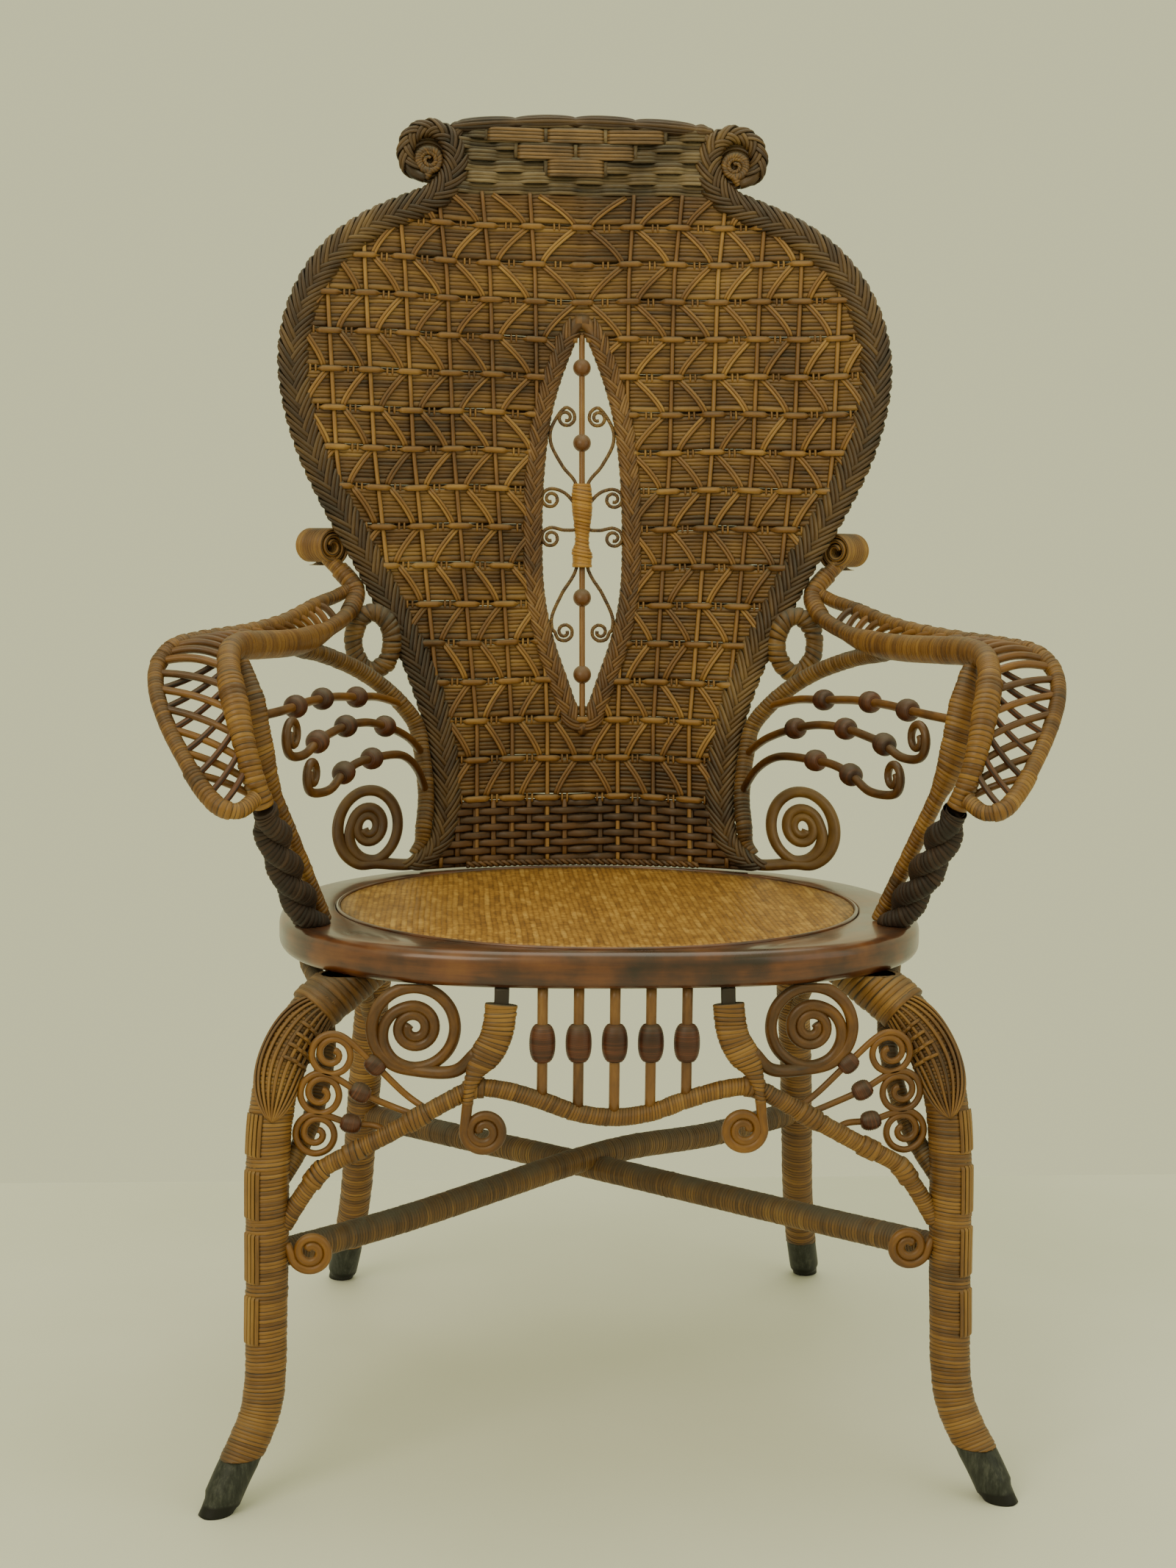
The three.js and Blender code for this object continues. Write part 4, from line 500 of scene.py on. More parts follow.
def cane_finish(
    name, tones, gap, dust="#857f6c", dust_share=0.35, rough=(0.36, 0.6), spread=0.3, streak=0.6, patch=0.9
):
    """A rattan finish on the fibre UVs: each fibre has its own tone and streaks along it, with painted shade
    on its sides, where it meets the next fibre.
    """
    material, tree, surface = new_material(name)
    axes = add_node(tree, "SeparateXYZ", {"Vector": add_node(tree, "UVMap", uv_map="fibre")})
    number = add_node(tree, "Math", {0: axes.outputs["Y"]}, operation="FLOOR")
    random = add_node(tree, "TexWhiteNoise", {"W": number}, noise_dimensions="1D").outputs["Value"]
    turned = add_node(tree, "Math", {0: axes.outputs["Y"], 1: TURN}, operation="MULTIPLY")
    crown = add_node(tree, "Math", {0: turned}, operation="SINE")
    crown = add_node(tree, "Math", {0: crown}, operation="ABSOLUTE")
    face = add_node(tree, "MapRange", {0: crown, 1: 0, 2: 0.5}, interpolation_type="SMOOTHSTEP")
    spot = add_node(tree, "CombineXYZ", {"X": axes.outputs["X"], "Y": axes.outputs["Y"], "Z": random})
    stretch = add_node(tree, "Mapping", {"Vector": spot, "Scale": (60, 7, 40)})
    streaks = add_node(tree, "TexNoise", {"Vector": stretch, "Scale": 1, "Detail": 4, "Roughness": 0.62})
    place = add_node(tree, "TexCoord").outputs["Object"]
    patches = add_node(tree, "TexNoise", {"Vector": place, "Scale": 11, "Detail": 4, "Roughness": 0.6})
    share = 0.5 - (spread + streak + patch) / 2
    for part, weight in ((random, spread), (streaks, streak), (patches, patch)):
        share = add_node(tree, "Math", {0: part, 1: weight, 2: share}, operation="MULTIPLY_ADD")
    colour = add_node(tree, "ValToRGB", {"Fac": share}, list(zip((0.12, 0.38, 0.62, 0.9), tones)))
    # The gap colour is painted shade: face mixes it into each fibre's sides and into the grooves between
    # wraps, where the fibres meet.
    edge = linear(gap) if gap else colour
    edge_shaded = add_node(tree, "Mix", {0: face, 6: edge, 7: colour}, data_type="RGBA")
    normal = add_node(tree, "NewGeometry").outputs["Normal"]
    upward = add_node(tree, "SeparateXYZ", {"Vector": normal}).outputs["Z"]
    lying = add_node(tree, "MapRange", {0: upward, 1: 0.15, 2: 0.9, 3: 0, 4: 1})
    clumps = add_node(tree, "TexNoise", {"Vector": place, "Scale": 26, "Detail": 5, "Roughness": 0.65})
    clump = add_node(tree, "MapRange", {0: clumps, 1: 0.35, 2: 0.62, 3: 0.25, 4: 1})
    settled = add_node(tree, "Math", {0: lying, 1: clump}, operation="MULTIPLY")
    film = add_node(tree, "Math", {0: settled, 1: dust_share}, operation="MULTIPLY")
    dusty = add_node(tree, "Mix", {0: film, 6: edge_shaded.outputs[2], 7: linear(dust)}, data_type="RGBA")
    gloss = add_node(tree, "MapRange", {0: streaks, 1: 0.3, 2: 0.7, 3: rough[0], 4: rough[1]})
    matt = add_node(tree, "Math", {0: film, 1: 0.5, 2: gloss}, operation="MULTIPLY_ADD", use_clamp=True)
    bump = add_node(tree, "Bump", {"Height": streaks, "Strength": 0.35, "Distance": 0.0004})
    fill(tree, surface, {"Base Color": dusty.outputs[2], "Roughness": matt, "Normal": bump})
    return material


# Split cane wound on a pole: honey brown, satin, grey dust on what lies upwards, painted shade in the grooves
# between the wraps.
honey_wrap = cane_finish(
    "wound_split_cane", ("#3a240b", "#694418", "#895f26", "#a67c3e"), "#1f1308", "#77735f", 0.4, patch=1.15
)
# Binder cane: flat, paler and more golden than the winding, with painted shade along its edges.
strip_cane = cane_finish(
    "golden_binder_cane", ("#482f12", "#765020", "#926a2e", "#ad8643"), "#241708", "#77735f", 0.3
)


def leg_line(top_depth, inset, foot, shares, thick):
    top_width = seat_half_width_at(top_depth, inset)
    points = [
        (mix(top_width, foot[0], out), mix(top_depth, foot[1], along), seat_under * height)
        for out, along, height in shares
    ]
    return Line(points, np.linspace(thick, ankle_radius, len(points)))


front_foot = (front_foot_spread, -front_foot_reach)
front_leg_top = seat_middle - 0.67 * seat_front_reach
front_leg = leg_line(front_leg_top, front_leg_inset, front_foot, front_leg_shares, knee_radius)


def on_pole(line, lengths, angles, rise):
    """Places at a rise above a pole, from lengths along it and angles round it, and the ways out there."""
    places, sizes = line.at(lengths)
    along, wide, front = cross_directions(places, forwards)
    outward = wide * np.cos(angles)[:, None] + front * np.sin(angles)[:, None]
    return places + outward * (sizes[:, :1] + np.reshape(rise, (-1, 1))), outward


def knee_leaf(seed):
    """Round canes that meet above and below the knee and spread over it, with cross strands laced through."""
    number = seed * 1000
    top, bottom = [front_leg.to_height(seat_under * share) for share in (leaf_top_share, leaf_foot_share)]
    shares = np.linspace(0, 1, 30)
    arch = np.sin(shares * TURN / 2)
    blocks = []
    for k in range(leaf_canes):
        lean = (k - (leaf_canes - 1) / 2) / ((leaf_canes - 1) / 2)
        angles = leaf_middle - lean * leaf_spread * arch**0.7
        places, outward = on_pole(front_leg, mix(top, bottom, shares), angles, 0.9)
        blocks.append(fibre(places, 0.9 + 0.75 * arch, 1.3, outward, number + k))
    angles = np.linspace(TURN / 4 - 1.3, TURN / 4 + 1.6, 34)
    droop = 3 * np.sin(np.linspace(0, TURN / 2, 34))
    for k in range(leaf_lacings):
        weave = 1.9 + 0.9 * np.sin(np.linspace(0, TURN * 4.5, 34) + k * TURN / 2)
        places, outward = on_pole(front_leg, mix(top, bottom, 0.34 + 0.085 * k) - droop, angles, weave)
        blocks.append(fibre(places, 1.5, 0.8, outward, number + 20 + k))
    return blocks


def binder_strips(seed):
    """Flat strips down the outside of the leg. They go under a block of winding at even distances."""
    blocks = []
    top, bottom = front_leg.to_height(seat_under * 0.745), front_leg.to_height(seat_under * 0.3)
    lengths = np.arange(top, bottom, 1.6)
    over = np.sin((lengths - top) / strip_block * TURN) > -0.72
    for k in range(strip_count):
        angles = np.full(len(lengths), strip_first_angle - strip_angle * k)
        places, outward = on_pole(front_leg, lengths, angles, np.where(over, 0.5, -1.3))
        blocks.append(fibre(places, 1.85, 0.75, outward, seed * 1000 + 50 + k, squareness=0.8))
    return blocks


def front_winding(seed):
    """The winding from seat to foot, and a coarser one over it above the knee."""
    knee_head = front_leg.to_height(seat_under * 0.93)
    return [
        winding(front_leg, leg_wrap, seed, start=1, loose=0.2, groove=0.5),
        winding(front_leg, 5.4, seed + 60, start=2, end=knee_head, proud=2.8, groove=0.9, loose=0.3),
    ]


top_cut = seat_under - fit
leg_cuts = {"low": ferrule_height, "high": top_cut}
build_pair("front_leg_{}_winding", (3, 4), front_winding, honey_wrap, "wrap", "front_leg_{}", **leg_cuts)
build_pair("front_leg_{}_lacing", (3, 4), knee_leaf, honey_wrap, "wrap", high=top_cut)
build_pair("front_leg_{}_strips", (3, 4), binder_strips, strip_cane, "wrap", high=top_cut)

# Back legs: rattan poles with the same winding of narrow split cane, without strips. They are set into
# the seat ring and lean back to the floor.
back_leg_shares = [
    (-0.02, -0.02, 1.015), (0.08, 0.03, 0.93), (0.17, 0.08, 0.85), (0.35, 0.24, 0.65), (0.5, 0.437, 0.44),
    (0.63, 0.627, 0.26), (0.8, 0.825, 0.12), (1, 1, 0), (1.04, 1.04, -0.022),
]
back_foot = (back_foot_spread, back_foot_reach)
back_leg_top = seat_middle + 0.615 * seat_rear_reach
back_leg = leg_line(back_leg_top, back_leg_inset, back_foot, back_leg_shares, back_leg_radius)


def back_winding(seed):
    return [winding(back_leg, leg_wrap, seed, start=1, loose=0.2)]


build_pair("back_leg_{}_winding", (5, 6), back_winding, honey_wrap, "wrap", "back_leg_{}", **leg_cuts)

# Ferrules: drawn steel cups pushed over the feet, grey with handling, with a near-black lip at the floor.
# The shares are the cup's radius at these heights: it narrows to its tip and is rolled in at its mouth.
ferrule_heights = [0, 7, 8.5, 10, 33, 36, 39]
ferrule_radius_shares = [0.82, 0.86, 0.93, 0.99, 1, 1, 0.97]


def worn_steel():
    """Drawn steel, long unpolished: dark grey, half dull, scuffed lengthwise, nearly black at the lip."""
    material, tree, surface = new_material("drawn_steel_cup")
    place = add_node(tree, "TexCoord").outputs["Object"]
    stretch = add_node(tree, "Mapping", {"Vector": place, "Scale": (260, 260, 60)})
    scuffs = add_node(tree, "TexNoise", {"Vector": stretch, "Scale": 1, "Detail": 5, "Roughness": 0.7})
    tones = [(0.3, "#1f211e"), (0.52, "#373934"), (0.75, "#5a5b52")]
    colour = add_node(tree, "ValToRGB", {"Fac": scuffs}, tones)
    height = add_node(tree, "SeparateXYZ", {"Vector": place}).outputs["Z"]
    lip = add_node(tree, "MapRange", {0: height, 1: 7 * METRES, 2: 9 * METRES})
    lipped = add_node(tree, "Mix", {0: lip, 6: linear("#191815"), 7: colour}, data_type="RGBA")
    rough = add_node(tree, "MapRange", {0: scuffs, 1: 0.3, 2: 0.7, 3: 0.38, 4: 0.62})
    bump = add_node(tree, "Bump", {"Height": scuffs, "Strength": 0.2, "Distance": 0.0003})
    fill(tree, surface, {"Base Color": lipped.outputs[2], "Roughness": rough, "Normal": bump})
    surface.inputs["Metallic"].default_value = 0.45
    return material


def cup(line):
    """A cup round the end of a leg."""
    mouth, tip = line.to_height(ferrule_height) - 8, line.to_height(0) + 6
    places = line.at(np.concatenate([[mouth], np.linspace(mouth, tip, 24)]))[0]
    radii = np.interp(places[:, 2], ferrule_heights, ferrule_radius_shares) * ferrule_radius
    return fibre(places, radii, radii, forwards, 0, sides=32)


steel = worn_steel()
cup_cuts = {"low": 0.05, "high": ferrule_height - fit}
for line, end in ((front_leg, "front"), (back_leg, "back")):
    node = end + "_ferrule_{}"
    build_pair(end + "_ferrule_cup_{}", (0, 0), lambda seed: [cup(line)], steel, "ferrule", node, **cup_cuts)

# Stretchers: two wound poles that cross under the seat, bowed up a little. The lower one is notched
# where the upper lies in it. Dust has settled on their tops.
stretcher_radius = 9
stretcher_rise = 10
stretcher_step = 9
stretcher_height = seat_under * 0.47
stretcher_shares = [(0, 0), (0.2, 0), (0.38, 0.5), (0.5, 0.9), (0.57, 1), (0.64, 0.9), (0.8, 0.1), (1, 0)]
# Wound cane for the parts in the shade: its darker tones are a painted shade. It is also greyer with a thick
# coat of dust, and has painted shade in the grooves between the wraps.
shaded_dusty_wrap = cane_finish(
    "shaded_dusty_wound_cane", ("#352510", "#5b3e1b", "#785526", "#927038"), "#1d130a", "#68645a", 1.0
)


def leg_place(line, height):
    return line.at(line.to_height(height))[0]


def stretcher_line(side, drop):
    front, back = leg_place(front_leg, stretcher_height), leg_place(back_leg, stretcher_height)
    points = []
    for share, rise in stretcher_shares:
        height = stretcher_height + rise * (stretcher_rise - drop)
        points.append((side * mix(front[0], -back[0], share), mix(front[1], back[1], share), height))
    return Line(points, stretcher_radius)


for name, side, drop, seed in (("over", -1, 0, 7), ("under", 1, stretcher_step, 8)):
    line = stretcher_line(side, drop)
    ends = {"start": knee_radius * 0.8, "end": line.length - back_leg_radius * 0.8}
    block = winding(line, 2.6, seed, upwards, proud=1.8, **ends)
    build_piece(f"stretcher_{name}_winding", [block], shaded_dusty_wrap, "wrap", [f"stretcher_{name}"])

# Side braces: wound poles that arch from each front leg up under the seat ring and down to the back leg.
# A row of the shares is the way from the front leg to the back one, and the rise.
brace_radius = 7.5
brace_foot = seat_under * 0.581
brace_top = seat_under - brace_radius + 0.6 * fit
brace_shares = [
    (0, 0), (0.05, 0.3), (0.12, 0.66), (0.22, 0.92), (0.34, 1), (0.62, 1), (0.76, 0.9), (0.87, 0.62),
    (0.95, 0.3), (1, 0),
]
brace_front, brace_back = leg_place(front_leg, brace_foot), leg_place(back_leg, brace_foot)
ring_middle_width = (seat_half_width + cane_half_width + groove_outer) / 2
brace_points = []
for along, height in brace_shares:
    leg_x, depth = mix(brace_front[0], brace_back[0], along), mix(brace_front[1], brace_back[1], along)
    ring_x = ring_middle_width * seat_half_width_at(depth) / seat_half_width
    brace_points.append((mix(leg_x, ring_x, height), depth, mix(brace_foot, brace_top, height)))
brace_line = Line(brace_points, brace_radius)


def brace_winding(seed):
    return [winding(brace_line, 2.6, seed, sideways, 14, 10, brace_line.length - 8)]


build_pair("side_brace_{}_winding", (9, 10), brace_winding, shaded_dusty_wrap, "wrap", "side_brace_{}", high=top_cut)

# Apron rail: a wound pole from inside one front leg, up its arch, down to the dip and back. Bands of
# coarser cane are wound over it where others join it.
apron_inset = 13
apron_front = seat_middle - seat_front_reach + apron_inset
rail_radius = 6.8
rail_foot = leg_place(front_leg, seat_under * 0.506)
rail_shares = [
    (0.96, 0.522), (0.92, 0.568), (0.879, 0.61), (0.841, 0.643), (0.784, 0.666), (0.723, 0.687),
    (0.595, 0.734), (0.466, 0.783), (0.402, 0.803), (0.326, 0.8), (0.216, 0.78), (0.106, 0.754), (0, 0.745),
]
rail_bands = [(2.6, 8), (4.6, 7), (6.2, 9), (8, 7), (16, 7), (17.8, 9), (19.4, 7), (21.4, 8)]


def apron_place(across, height, stand_off=0):
    depth = mix(apron_front, rail_foot[1], across**2) - stand_off
    return np.array((rail_foot[0] * across, depth, seat_under * height))


rail_half = [apron_place(*row) for row in rail_shares]
rail_line = Line(rail_half + [place * (-1, 1, 1) for place in rail_half[-2::-1]], rail_radius)
rail_blocks = [winding(rail_line, 2.3, 11, forwards, 14, 4, rail_line.length - 4, loose=0.18)]
for k, (mark, half_length) in enumerate(rail_bands):
    middle = rail_line.to_mark(mark)
    ends = (middle - half_length, middle + half_length)
    rail_blocks.append(winding(rail_line, 3.6, 70 + k, forwards, 14, *ends, groove=0.6, proud=1.3))
build_piece("apron_rail_winding", rail_blocks, honey_wrap, "wrap", ["apron_rail"])

# Apron brackets: flat wound bands that curve down from dark pegs in the seat ring, cross in front of the
# rail and end in a small drop scroll of round cane.
bracket_half_width = 12
bracket_half_depth = 6.5
bracket_pole = 5
bracket_stand_off = 7
drop_radius = 15
drop_eye = 3.6
drop_cane = 3.3
peg_length = 12
bracket_shares = [(0.326, 1.02), (0.328, 0.965), (0.343, 0.905), (0.375, 0.866), (0.402, 0.835), (0.418, 0.8)]
# Round cane with its skin on: red-brown, polished by handling.
scroll_cane = cane_finish(
    "polished_round_cane", ("#331d0a", "#5c3914", "#7e521c", "#9f702d"), None, dust_share=0.25,
    rough=(0.28, 0.48),
)
# Stained pegs: nearly black, dull.
peg_finish = cane_finish("blackened_peg", ("#120c08", "#1c130d", "#2a1c13", "#3a281b"), None, dust_share=0.3)


def spiral(centre, rows, start, hand=1, per_turn=12, across=sideways, squash=1):
    """Points of a flat spiral. A row pairs the turns made so far with the radius there."""
    made, radii = np.array(rows).T
    run = np.linspace(0, made[-1], round(made[-1] * per_turn) + 1)
    angles = start + hand * TURN * run
    reach = np.interp(run, made, radii)
    flat = np.outer(reach * np.cos(angles) * squash, across) + np.outer(reach * np.sin(angles), upwards)
    return centre + flat


def plain_cane(points, radii, number, step=3.5, sides=12, facing=forwards):
    """A peeled cane along points, round, with its radius at each of them."""
    places, sizes = Line(points, radii).even(step)
    return fibre(places, sizes[:, 0], sizes[:, 0], facing, number, sides)


drop_rows = [(0, drop_radius), (0.7, drop_radius * 0.85), (2.1, drop_eye)]
drop_points = spiral(apron_place(0.376, 0.723, bracket_stand_off), drop_rows, TURN / 16, -1)
stand_offs = np.linspace(0, bracket_stand_off, len(bracket_shares))
bracket_top = [apron_place(*row, stand_off) for row, stand_off in zip(bracket_shares, stand_offs)]
bracket_sizes = [(bracket_half_width, bracket_half_depth)] * 4 + [(bracket_pole * 1.4, bracket_pole)]
bracket_sizes += [(size, size) for size in np.linspace(bracket_pole * 0.8, drop_cane, len(drop_points) + 1)]
bracket_line = Line([*bracket_top, *drop_points], bracket_sizes)
band_start = bracket_line.to_height(seat_under - peg_length)
band_end = bracket_line.to_height(seat_under * 0.775)


def bracket_peg(seed):
    places = bracket_line.at(np.linspace(0, band_start + 3, 8))[0]
    return [fibre(places, 5.5, 3.5, forwards, seed * 1000 + 5, 16, 0.5)]


def bracket_band(seed):
    return [winding(bracket_line, 3.1, seed, start=band_start, end=band_end, groove=0.5, loose=0.2)]


def bracket_drop(seed):
    places, sizes = bracket_line.at(np.arange(band_end - 2, bracket_line.length, 2.2))
    return [fibre(places, sizes[:, 0], sizes[:, 1], forwards, seed * 1000, 16)]


build_pair("bracket_{}_peg", (12, 13), bracket_peg, peg_finish, "dark", high=top_cut)
build_pair("bracket_{}_winding", (12, 13), bracket_band, honey_wrap, "wrap", "apron_bracket_{}", high=top_cut)
build_pair("bracket_{}_drop", (12, 13), bracket_drop, scroll_cane, "cane")

# Apron scrolls: round cane steamed and bent into a flat spiral under the seat ring, its outer end bound to
# the bracket.
apron_scroll_radius = 31
apron_scroll_eye = 4.4
apron_scroll_pole = 4.9
apron_scroll_tip = 3.7
apron_scroll_inset = 26
bite = 5
scroll_depth = seat_middle - seat_front_reach + apron_scroll_inset
scroll_height = seat_under - apron_scroll_radius - apron_scroll_pole * 0.45
apron_rows = [(0, apron_scroll_radius * 1.03), (1.05, 30), (1.4, 17.5), (3.35, apron_scroll_eye)]
scroll_turns = spiral((rail_foot[0] * 0.578, scroll_depth, scroll_height), apron_rows, -TURN / 4)
scroll_lead = [apron_place(0.4, 0.875, bite), apron_place(0.46, 0.835, bite)]
scroll_lead[1][1] = mix(scroll_lead[0][1], scroll_depth, 0.5)
scroll_points = [*scroll_lead, *scroll_turns]
scroll_radii = np.linspace(apron_scroll_pole, apron_scroll_tip, len(scroll_points))


def apron_scroll(seed):
    return [plain_cane(scroll_points, scroll_radii, seed * 1000, 2.5, 18)]


node = "apron_scroll_{}"
build_pair("apron_scroll_{}_cane", (14, 15), apron_scroll, scroll_cane, "cane", node, high=top_cut)

# Corner curls: three thin canes in each corner, from the rail to the leg, each with a wound bead and a
# curl that rests on the next.
curl_radius = 15.3
curl_eye = 3.2
curl_cane = 2.6
curl_bead = 7.6
curl_plane = 190.5
# A row is a cane's root on the rail, its knee and its bead.
corner_shares = [
    ((0.53, 0.757), (0.6, 0.783), (0.69, 0.842)),
    ((0.56, 0.747), (0.64, 0.76), (0.733, 0.788)),
    ((0.64, 0.712), (0.69, 0.722), (0.76, 0.727)),
]
first_curl = 0.864
curl_rows = [(0, curl_radius), (0.6, curl_radius), (2, curl_eye)]
curl_start = TURN * 5 / 16
curl_seat = curl_radius * 2 + curl_cane * 0.15
# Beads wound with fine dark cord: red-brown on the wraps, polished, with painted shade nearly black in the
# grooves.
bead_wound = cane_finish(
    "wound_dark_bead", ("#23110c", "#41200f", "#5c2f18", "#7a4626"), "#150b07", "#77705f", 0.6, (0.3, 0.5)
)


def curl_centre(height):
    leg = leg_place(front_leg, height)
    return np.array((leg[0] - knee_radius - curl_radius - curl_cane * 0.56, -curl_plane, height))


def curl_below(upper):
    """The centre of the curl that stands just under another, found in a few steps."""
    drop = curl_seat
    for step in range(4):
        drop *= curl_seat / np.linalg.norm(curl_centre(upper[2] - drop) - upper)
    return curl_centre(upper[2] - drop)


def wound_bead(line, mark, radius, half_length, wrap, seed, rib=0.35, sides=16):
    """A bead wound with fine cord round a cane: an egg along the line, ribbed wrap by wrap."""
    middle = line.to_mark(mark)
    rod = line.at(middle)[1][0]
    count = max(int(half_length * 2 / wrap), 5)
    fraction = np.array([0, 0.5])
    wraps = np.arange(count)[:, None]
    stations = np.append((wraps + fraction).ravel() / count, 1) * 2 - 1
    swell = np.sqrt(np.maximum(1 - np.abs(stations) ** 2.3, 0)) * (radius - rod) + rod
    ribs = np.append(np.tile([-rib, rib * 0.4], count), -rib)
    sizes = swell + ribs * (swell > rod * 1.15)
    rings = tube(line.at(middle + stations * half_length)[0], sizes, sizes, forwards, sides)
    numbers = np.append((wraps + fraction * 0.5).ravel(), count) + seed * 200
    around = np.linspace(0, 1, sides + 1) * TURN * radius * METRES
    return rings, tube_uvs(numbers, around)[:, :, ::-1]


curl_lines = []
centre = curl_centre(seat_under * first_curl)
for root, *others in corner_shares:
    on_plane = [(rail_foot[0] * across, -curl_plane, seat_under * share) for across, share in others]
    turns = spiral(centre, curl_rows, curl_start, -1, 9)
    curl_lines.append(Line([apron_place(*root), *on_plane, *turns], curl_cane))
    centre = curl_below(centre)


def corner_canes(seed):
    runs = [line.even(2)[0] for line in curl_lines]
    return [fibre(run, curl_cane, curl_cane, forwards, seed * 1000 + i, 10) for i, run in enumerate(runs)]


def corner_beads(seed):
    shape = (curl_bead, curl_bead * 1.02, 1.3)
    return [wound_bead(line, 2, *shape, seed * 10 + i) for i, line in enumerate(curl_lines)]


build_pair("corner_curls_{}_canes", (16, 17), corner_canes, scroll_cane, "cane", "corner_curls_{}")
build_pair("corner_curls_{}_beads", (16, 17), corner_beads, bead_wound, "bead")

# Spindles: five turned maple rods, let into the seat ring above and into the dip of the rail below, each
# with a dark oval bead of wound cord.
spindle_count = 5
spindle_spacing = 27
spindle_radius = 4
spindle_bead = 9.9
spindle_bead_length = 29
spindle_bead_height = seat_under * 0.8915
# Turned maple: light brown, stained, satin.
rod_cane = cane_finish(
    "turned_maple_rod", ("#3f2712", "#66421f", "#80572b", "#9a7340"), None, dust_share=0.3, rough=(0.3, 0.45)
)
rail_xs, rail_heights = np.array(rail_half[::-1]).T[[0, 2]]
for i in range(spindle_count):
    x = (i - (spindle_count - 1) / 2) * spindle_spacing
    foot = np.interp(abs(x), rail_xs, rail_heights) + rail_radius * 0.5
    heights = (foot, foot + 20, seat_under - 20, seat_under - fit)
    line = Line([(x, apron_front, height) for height in heights], spindle_radius)
    rod = fibre(line.even(8)[0], spindle_radius, spindle_radius, forwards, i, 16)
    bead_mark = np.interp(spindle_bead_height - foot, line.lengths, line.marks)
    bead = wound_bead(line, bead_mark, spindle_bead, spindle_bead_length / 2, 1.5, 300 + i, 0.22, 20)
    build_piece(f"spindle_{i + 1}_rod", [rod], rod_cane, "cane", [f"spindle_{i + 1}"])
    build_piece(f"spindle_{i + 1}_bead", [bead], bead_wound, "bead")

# Leg scrolls: a flat curl of round cane in front of each stretcher's front end, nailed to the inside of
# the leg.
leg_scroll_radius = 15.5
leg_scroll_eye = 3.8
leg_scroll_cane = 3.4
leg_scroll_reach = 203
leg_scroll_height = seat_under * 0.483
leg_inner = leg_place(front_leg, leg_scroll_height)[0] - ankle_radius
leg_scroll_centre = (leg_inner - leg_scroll_radius - leg_scroll_cane, -leg_scroll_reach, leg_scroll_height)
leg_turns = spiral(leg_scroll_centre, [(0, leg_scroll_radius), (1.9, leg_scroll_eye)], 0, -1, 11)


def leg_scroll(seed):
    points = [leg_turns[0] + (bite / 2, bite / 2, bite), *leg_turns]
    return [plain_cane(points, leg_scroll_cane, seed * 1000, 2, 14)]


build_pair("leg_scroll_{}_cane", (18, 19), leg_scroll, scroll_cane, "cane", "leg_scroll_{}")

# Back panel: round reeds woven tight across upright stakes, behind split bands that bridge each stake and
# doubled canes that slant between them. The foot is a check of flat strips and the crest is fine reed with
# blocks of lighter reed, laid like bricks.
back_height = 710
back_half_width = 268
back_foot_depth = 221
back_crest_depth = 355
hollow_half_width = 140
foot_hollow = 35
crest_hollow = 14
stand_off = 4
braid_half_width = 14
braid_half_depth = 8.5
# A row is the share of the half width, the share of the height and the shares of the braid's half sizes.
braid_shares = [
    (0.56, 0.905, 0.5, 1.05), (0.6, 0.912, 0.58, 1.05), (0.628, 0.933, 0.62, 1.05),
    (0.608, 0.962, 0.64, 1.05), (0.545, 0.974, 0.68, 1.05), (0.483, 0.964, 0.78, 1.05),
    (0.452, 0.937, 0.88, 1.05), (0.468, 0.906, 0.96, 1.05), (0.522, 0.882, 1, 1.05),
    (0.604, 0.866, 1.02, 1.05), (0.679, 0.852, 1.04, 1.05), (0.76, 0.834, 1.02, 1.05),
    (0.843, 0.808, 1.02, 1), (0.92, 0.77, 1, 1), (0.978, 0.718, 1, 1),
    (1, 0.662, 1, 1), (0.985, 0.605, 1, 1), (0.935, 0.54, 1, 1),
    (0.851, 0.472, 1, 1), (0.748, 0.401, 1, 1), (0.655, 0.331, 1, 1),
    (0.569, 0.261, 1, 1), (0.507, 0.19, 1, 1), (0.478, 0.127, 1, 1),
    (0.474, 0.077, 0.95, 1), (0.5, 0.035, 0.8, 0.95), (0.575, 0.012, 0.6, 0.8),
]
slit_half_width = 46.5
slit_foot = 131
slit_head = 498
slit_shares = [
    (0.03, 1), (0.3, 0.95), (0.55, 0.87), (0.77, 0.78), (0.95, 0.64), (1, 0.49), (0.95, 0.34), (0.74, 0.22),
    (0.42, 0.105), (0.2, 0.04),
]
crest_half = back_half_width * 0.47
crest_border_radius = 7
crest_arch = 9
first_row = 64
row_rise = 35.8
row_count = 16
least_slant_rise = 20
crest_foot = 632
reed_pitch = 3.55
reed_drift = 0.12
rear_pitch = 4.475
shortest_reed = 9
stake_numbers = np.arange(-8, 9)
stake_heights = [127, 385, 554, 655]
stake_spacings = [33, 43, 45.9, 53.9]
stake_crowdings = [0, 0.8, 0.98, 2.4]
check_rise = 7.2
check_pitch = 16.7
cord_half_width = 108
brick = 57.5
brick_reed_pitch = 3.4
crest_shift = -6
# A row of bricks: its foot and head, its shift as a share of a brick, and how many bricks it has.
brick_rows = [(649, 665.4, 0.5, 1), (665.4, 681.6, 0, 2), (681.6, 696.5, 0.5, 3), (696.5, 705, 0, 4)]


def bend(places):
    """Leans and hollows the flat back: across, depth behind its front face and height above the seat."""
    x, y, z = places[..., 0], places[..., 1], places[..., 2]
    share = z / back_height
    hollow = mix(foot_hollow, crest_hollow, np.clip(share, 0, 1))
    depth = mix(back_foot_depth, back_crest_depth, share) - hollow * (x / hollow_half_width) ** 2
    return np.stack([x, y + depth, z + seat_top], axis=-1)


def bent(block):
    return bend(block[0]), block[1]


def bent_fibre(places, half_width, half_depth, number, sides=6, squareness=1.0, facing=forwards):
    return bent(fibre(places, half_width, half_depth, facing, number, sides, squareness))


def slit_place(across, height):
    return np.array((slit_half_width * across, stand_off, mix(slit_foot, slit_head, height)))


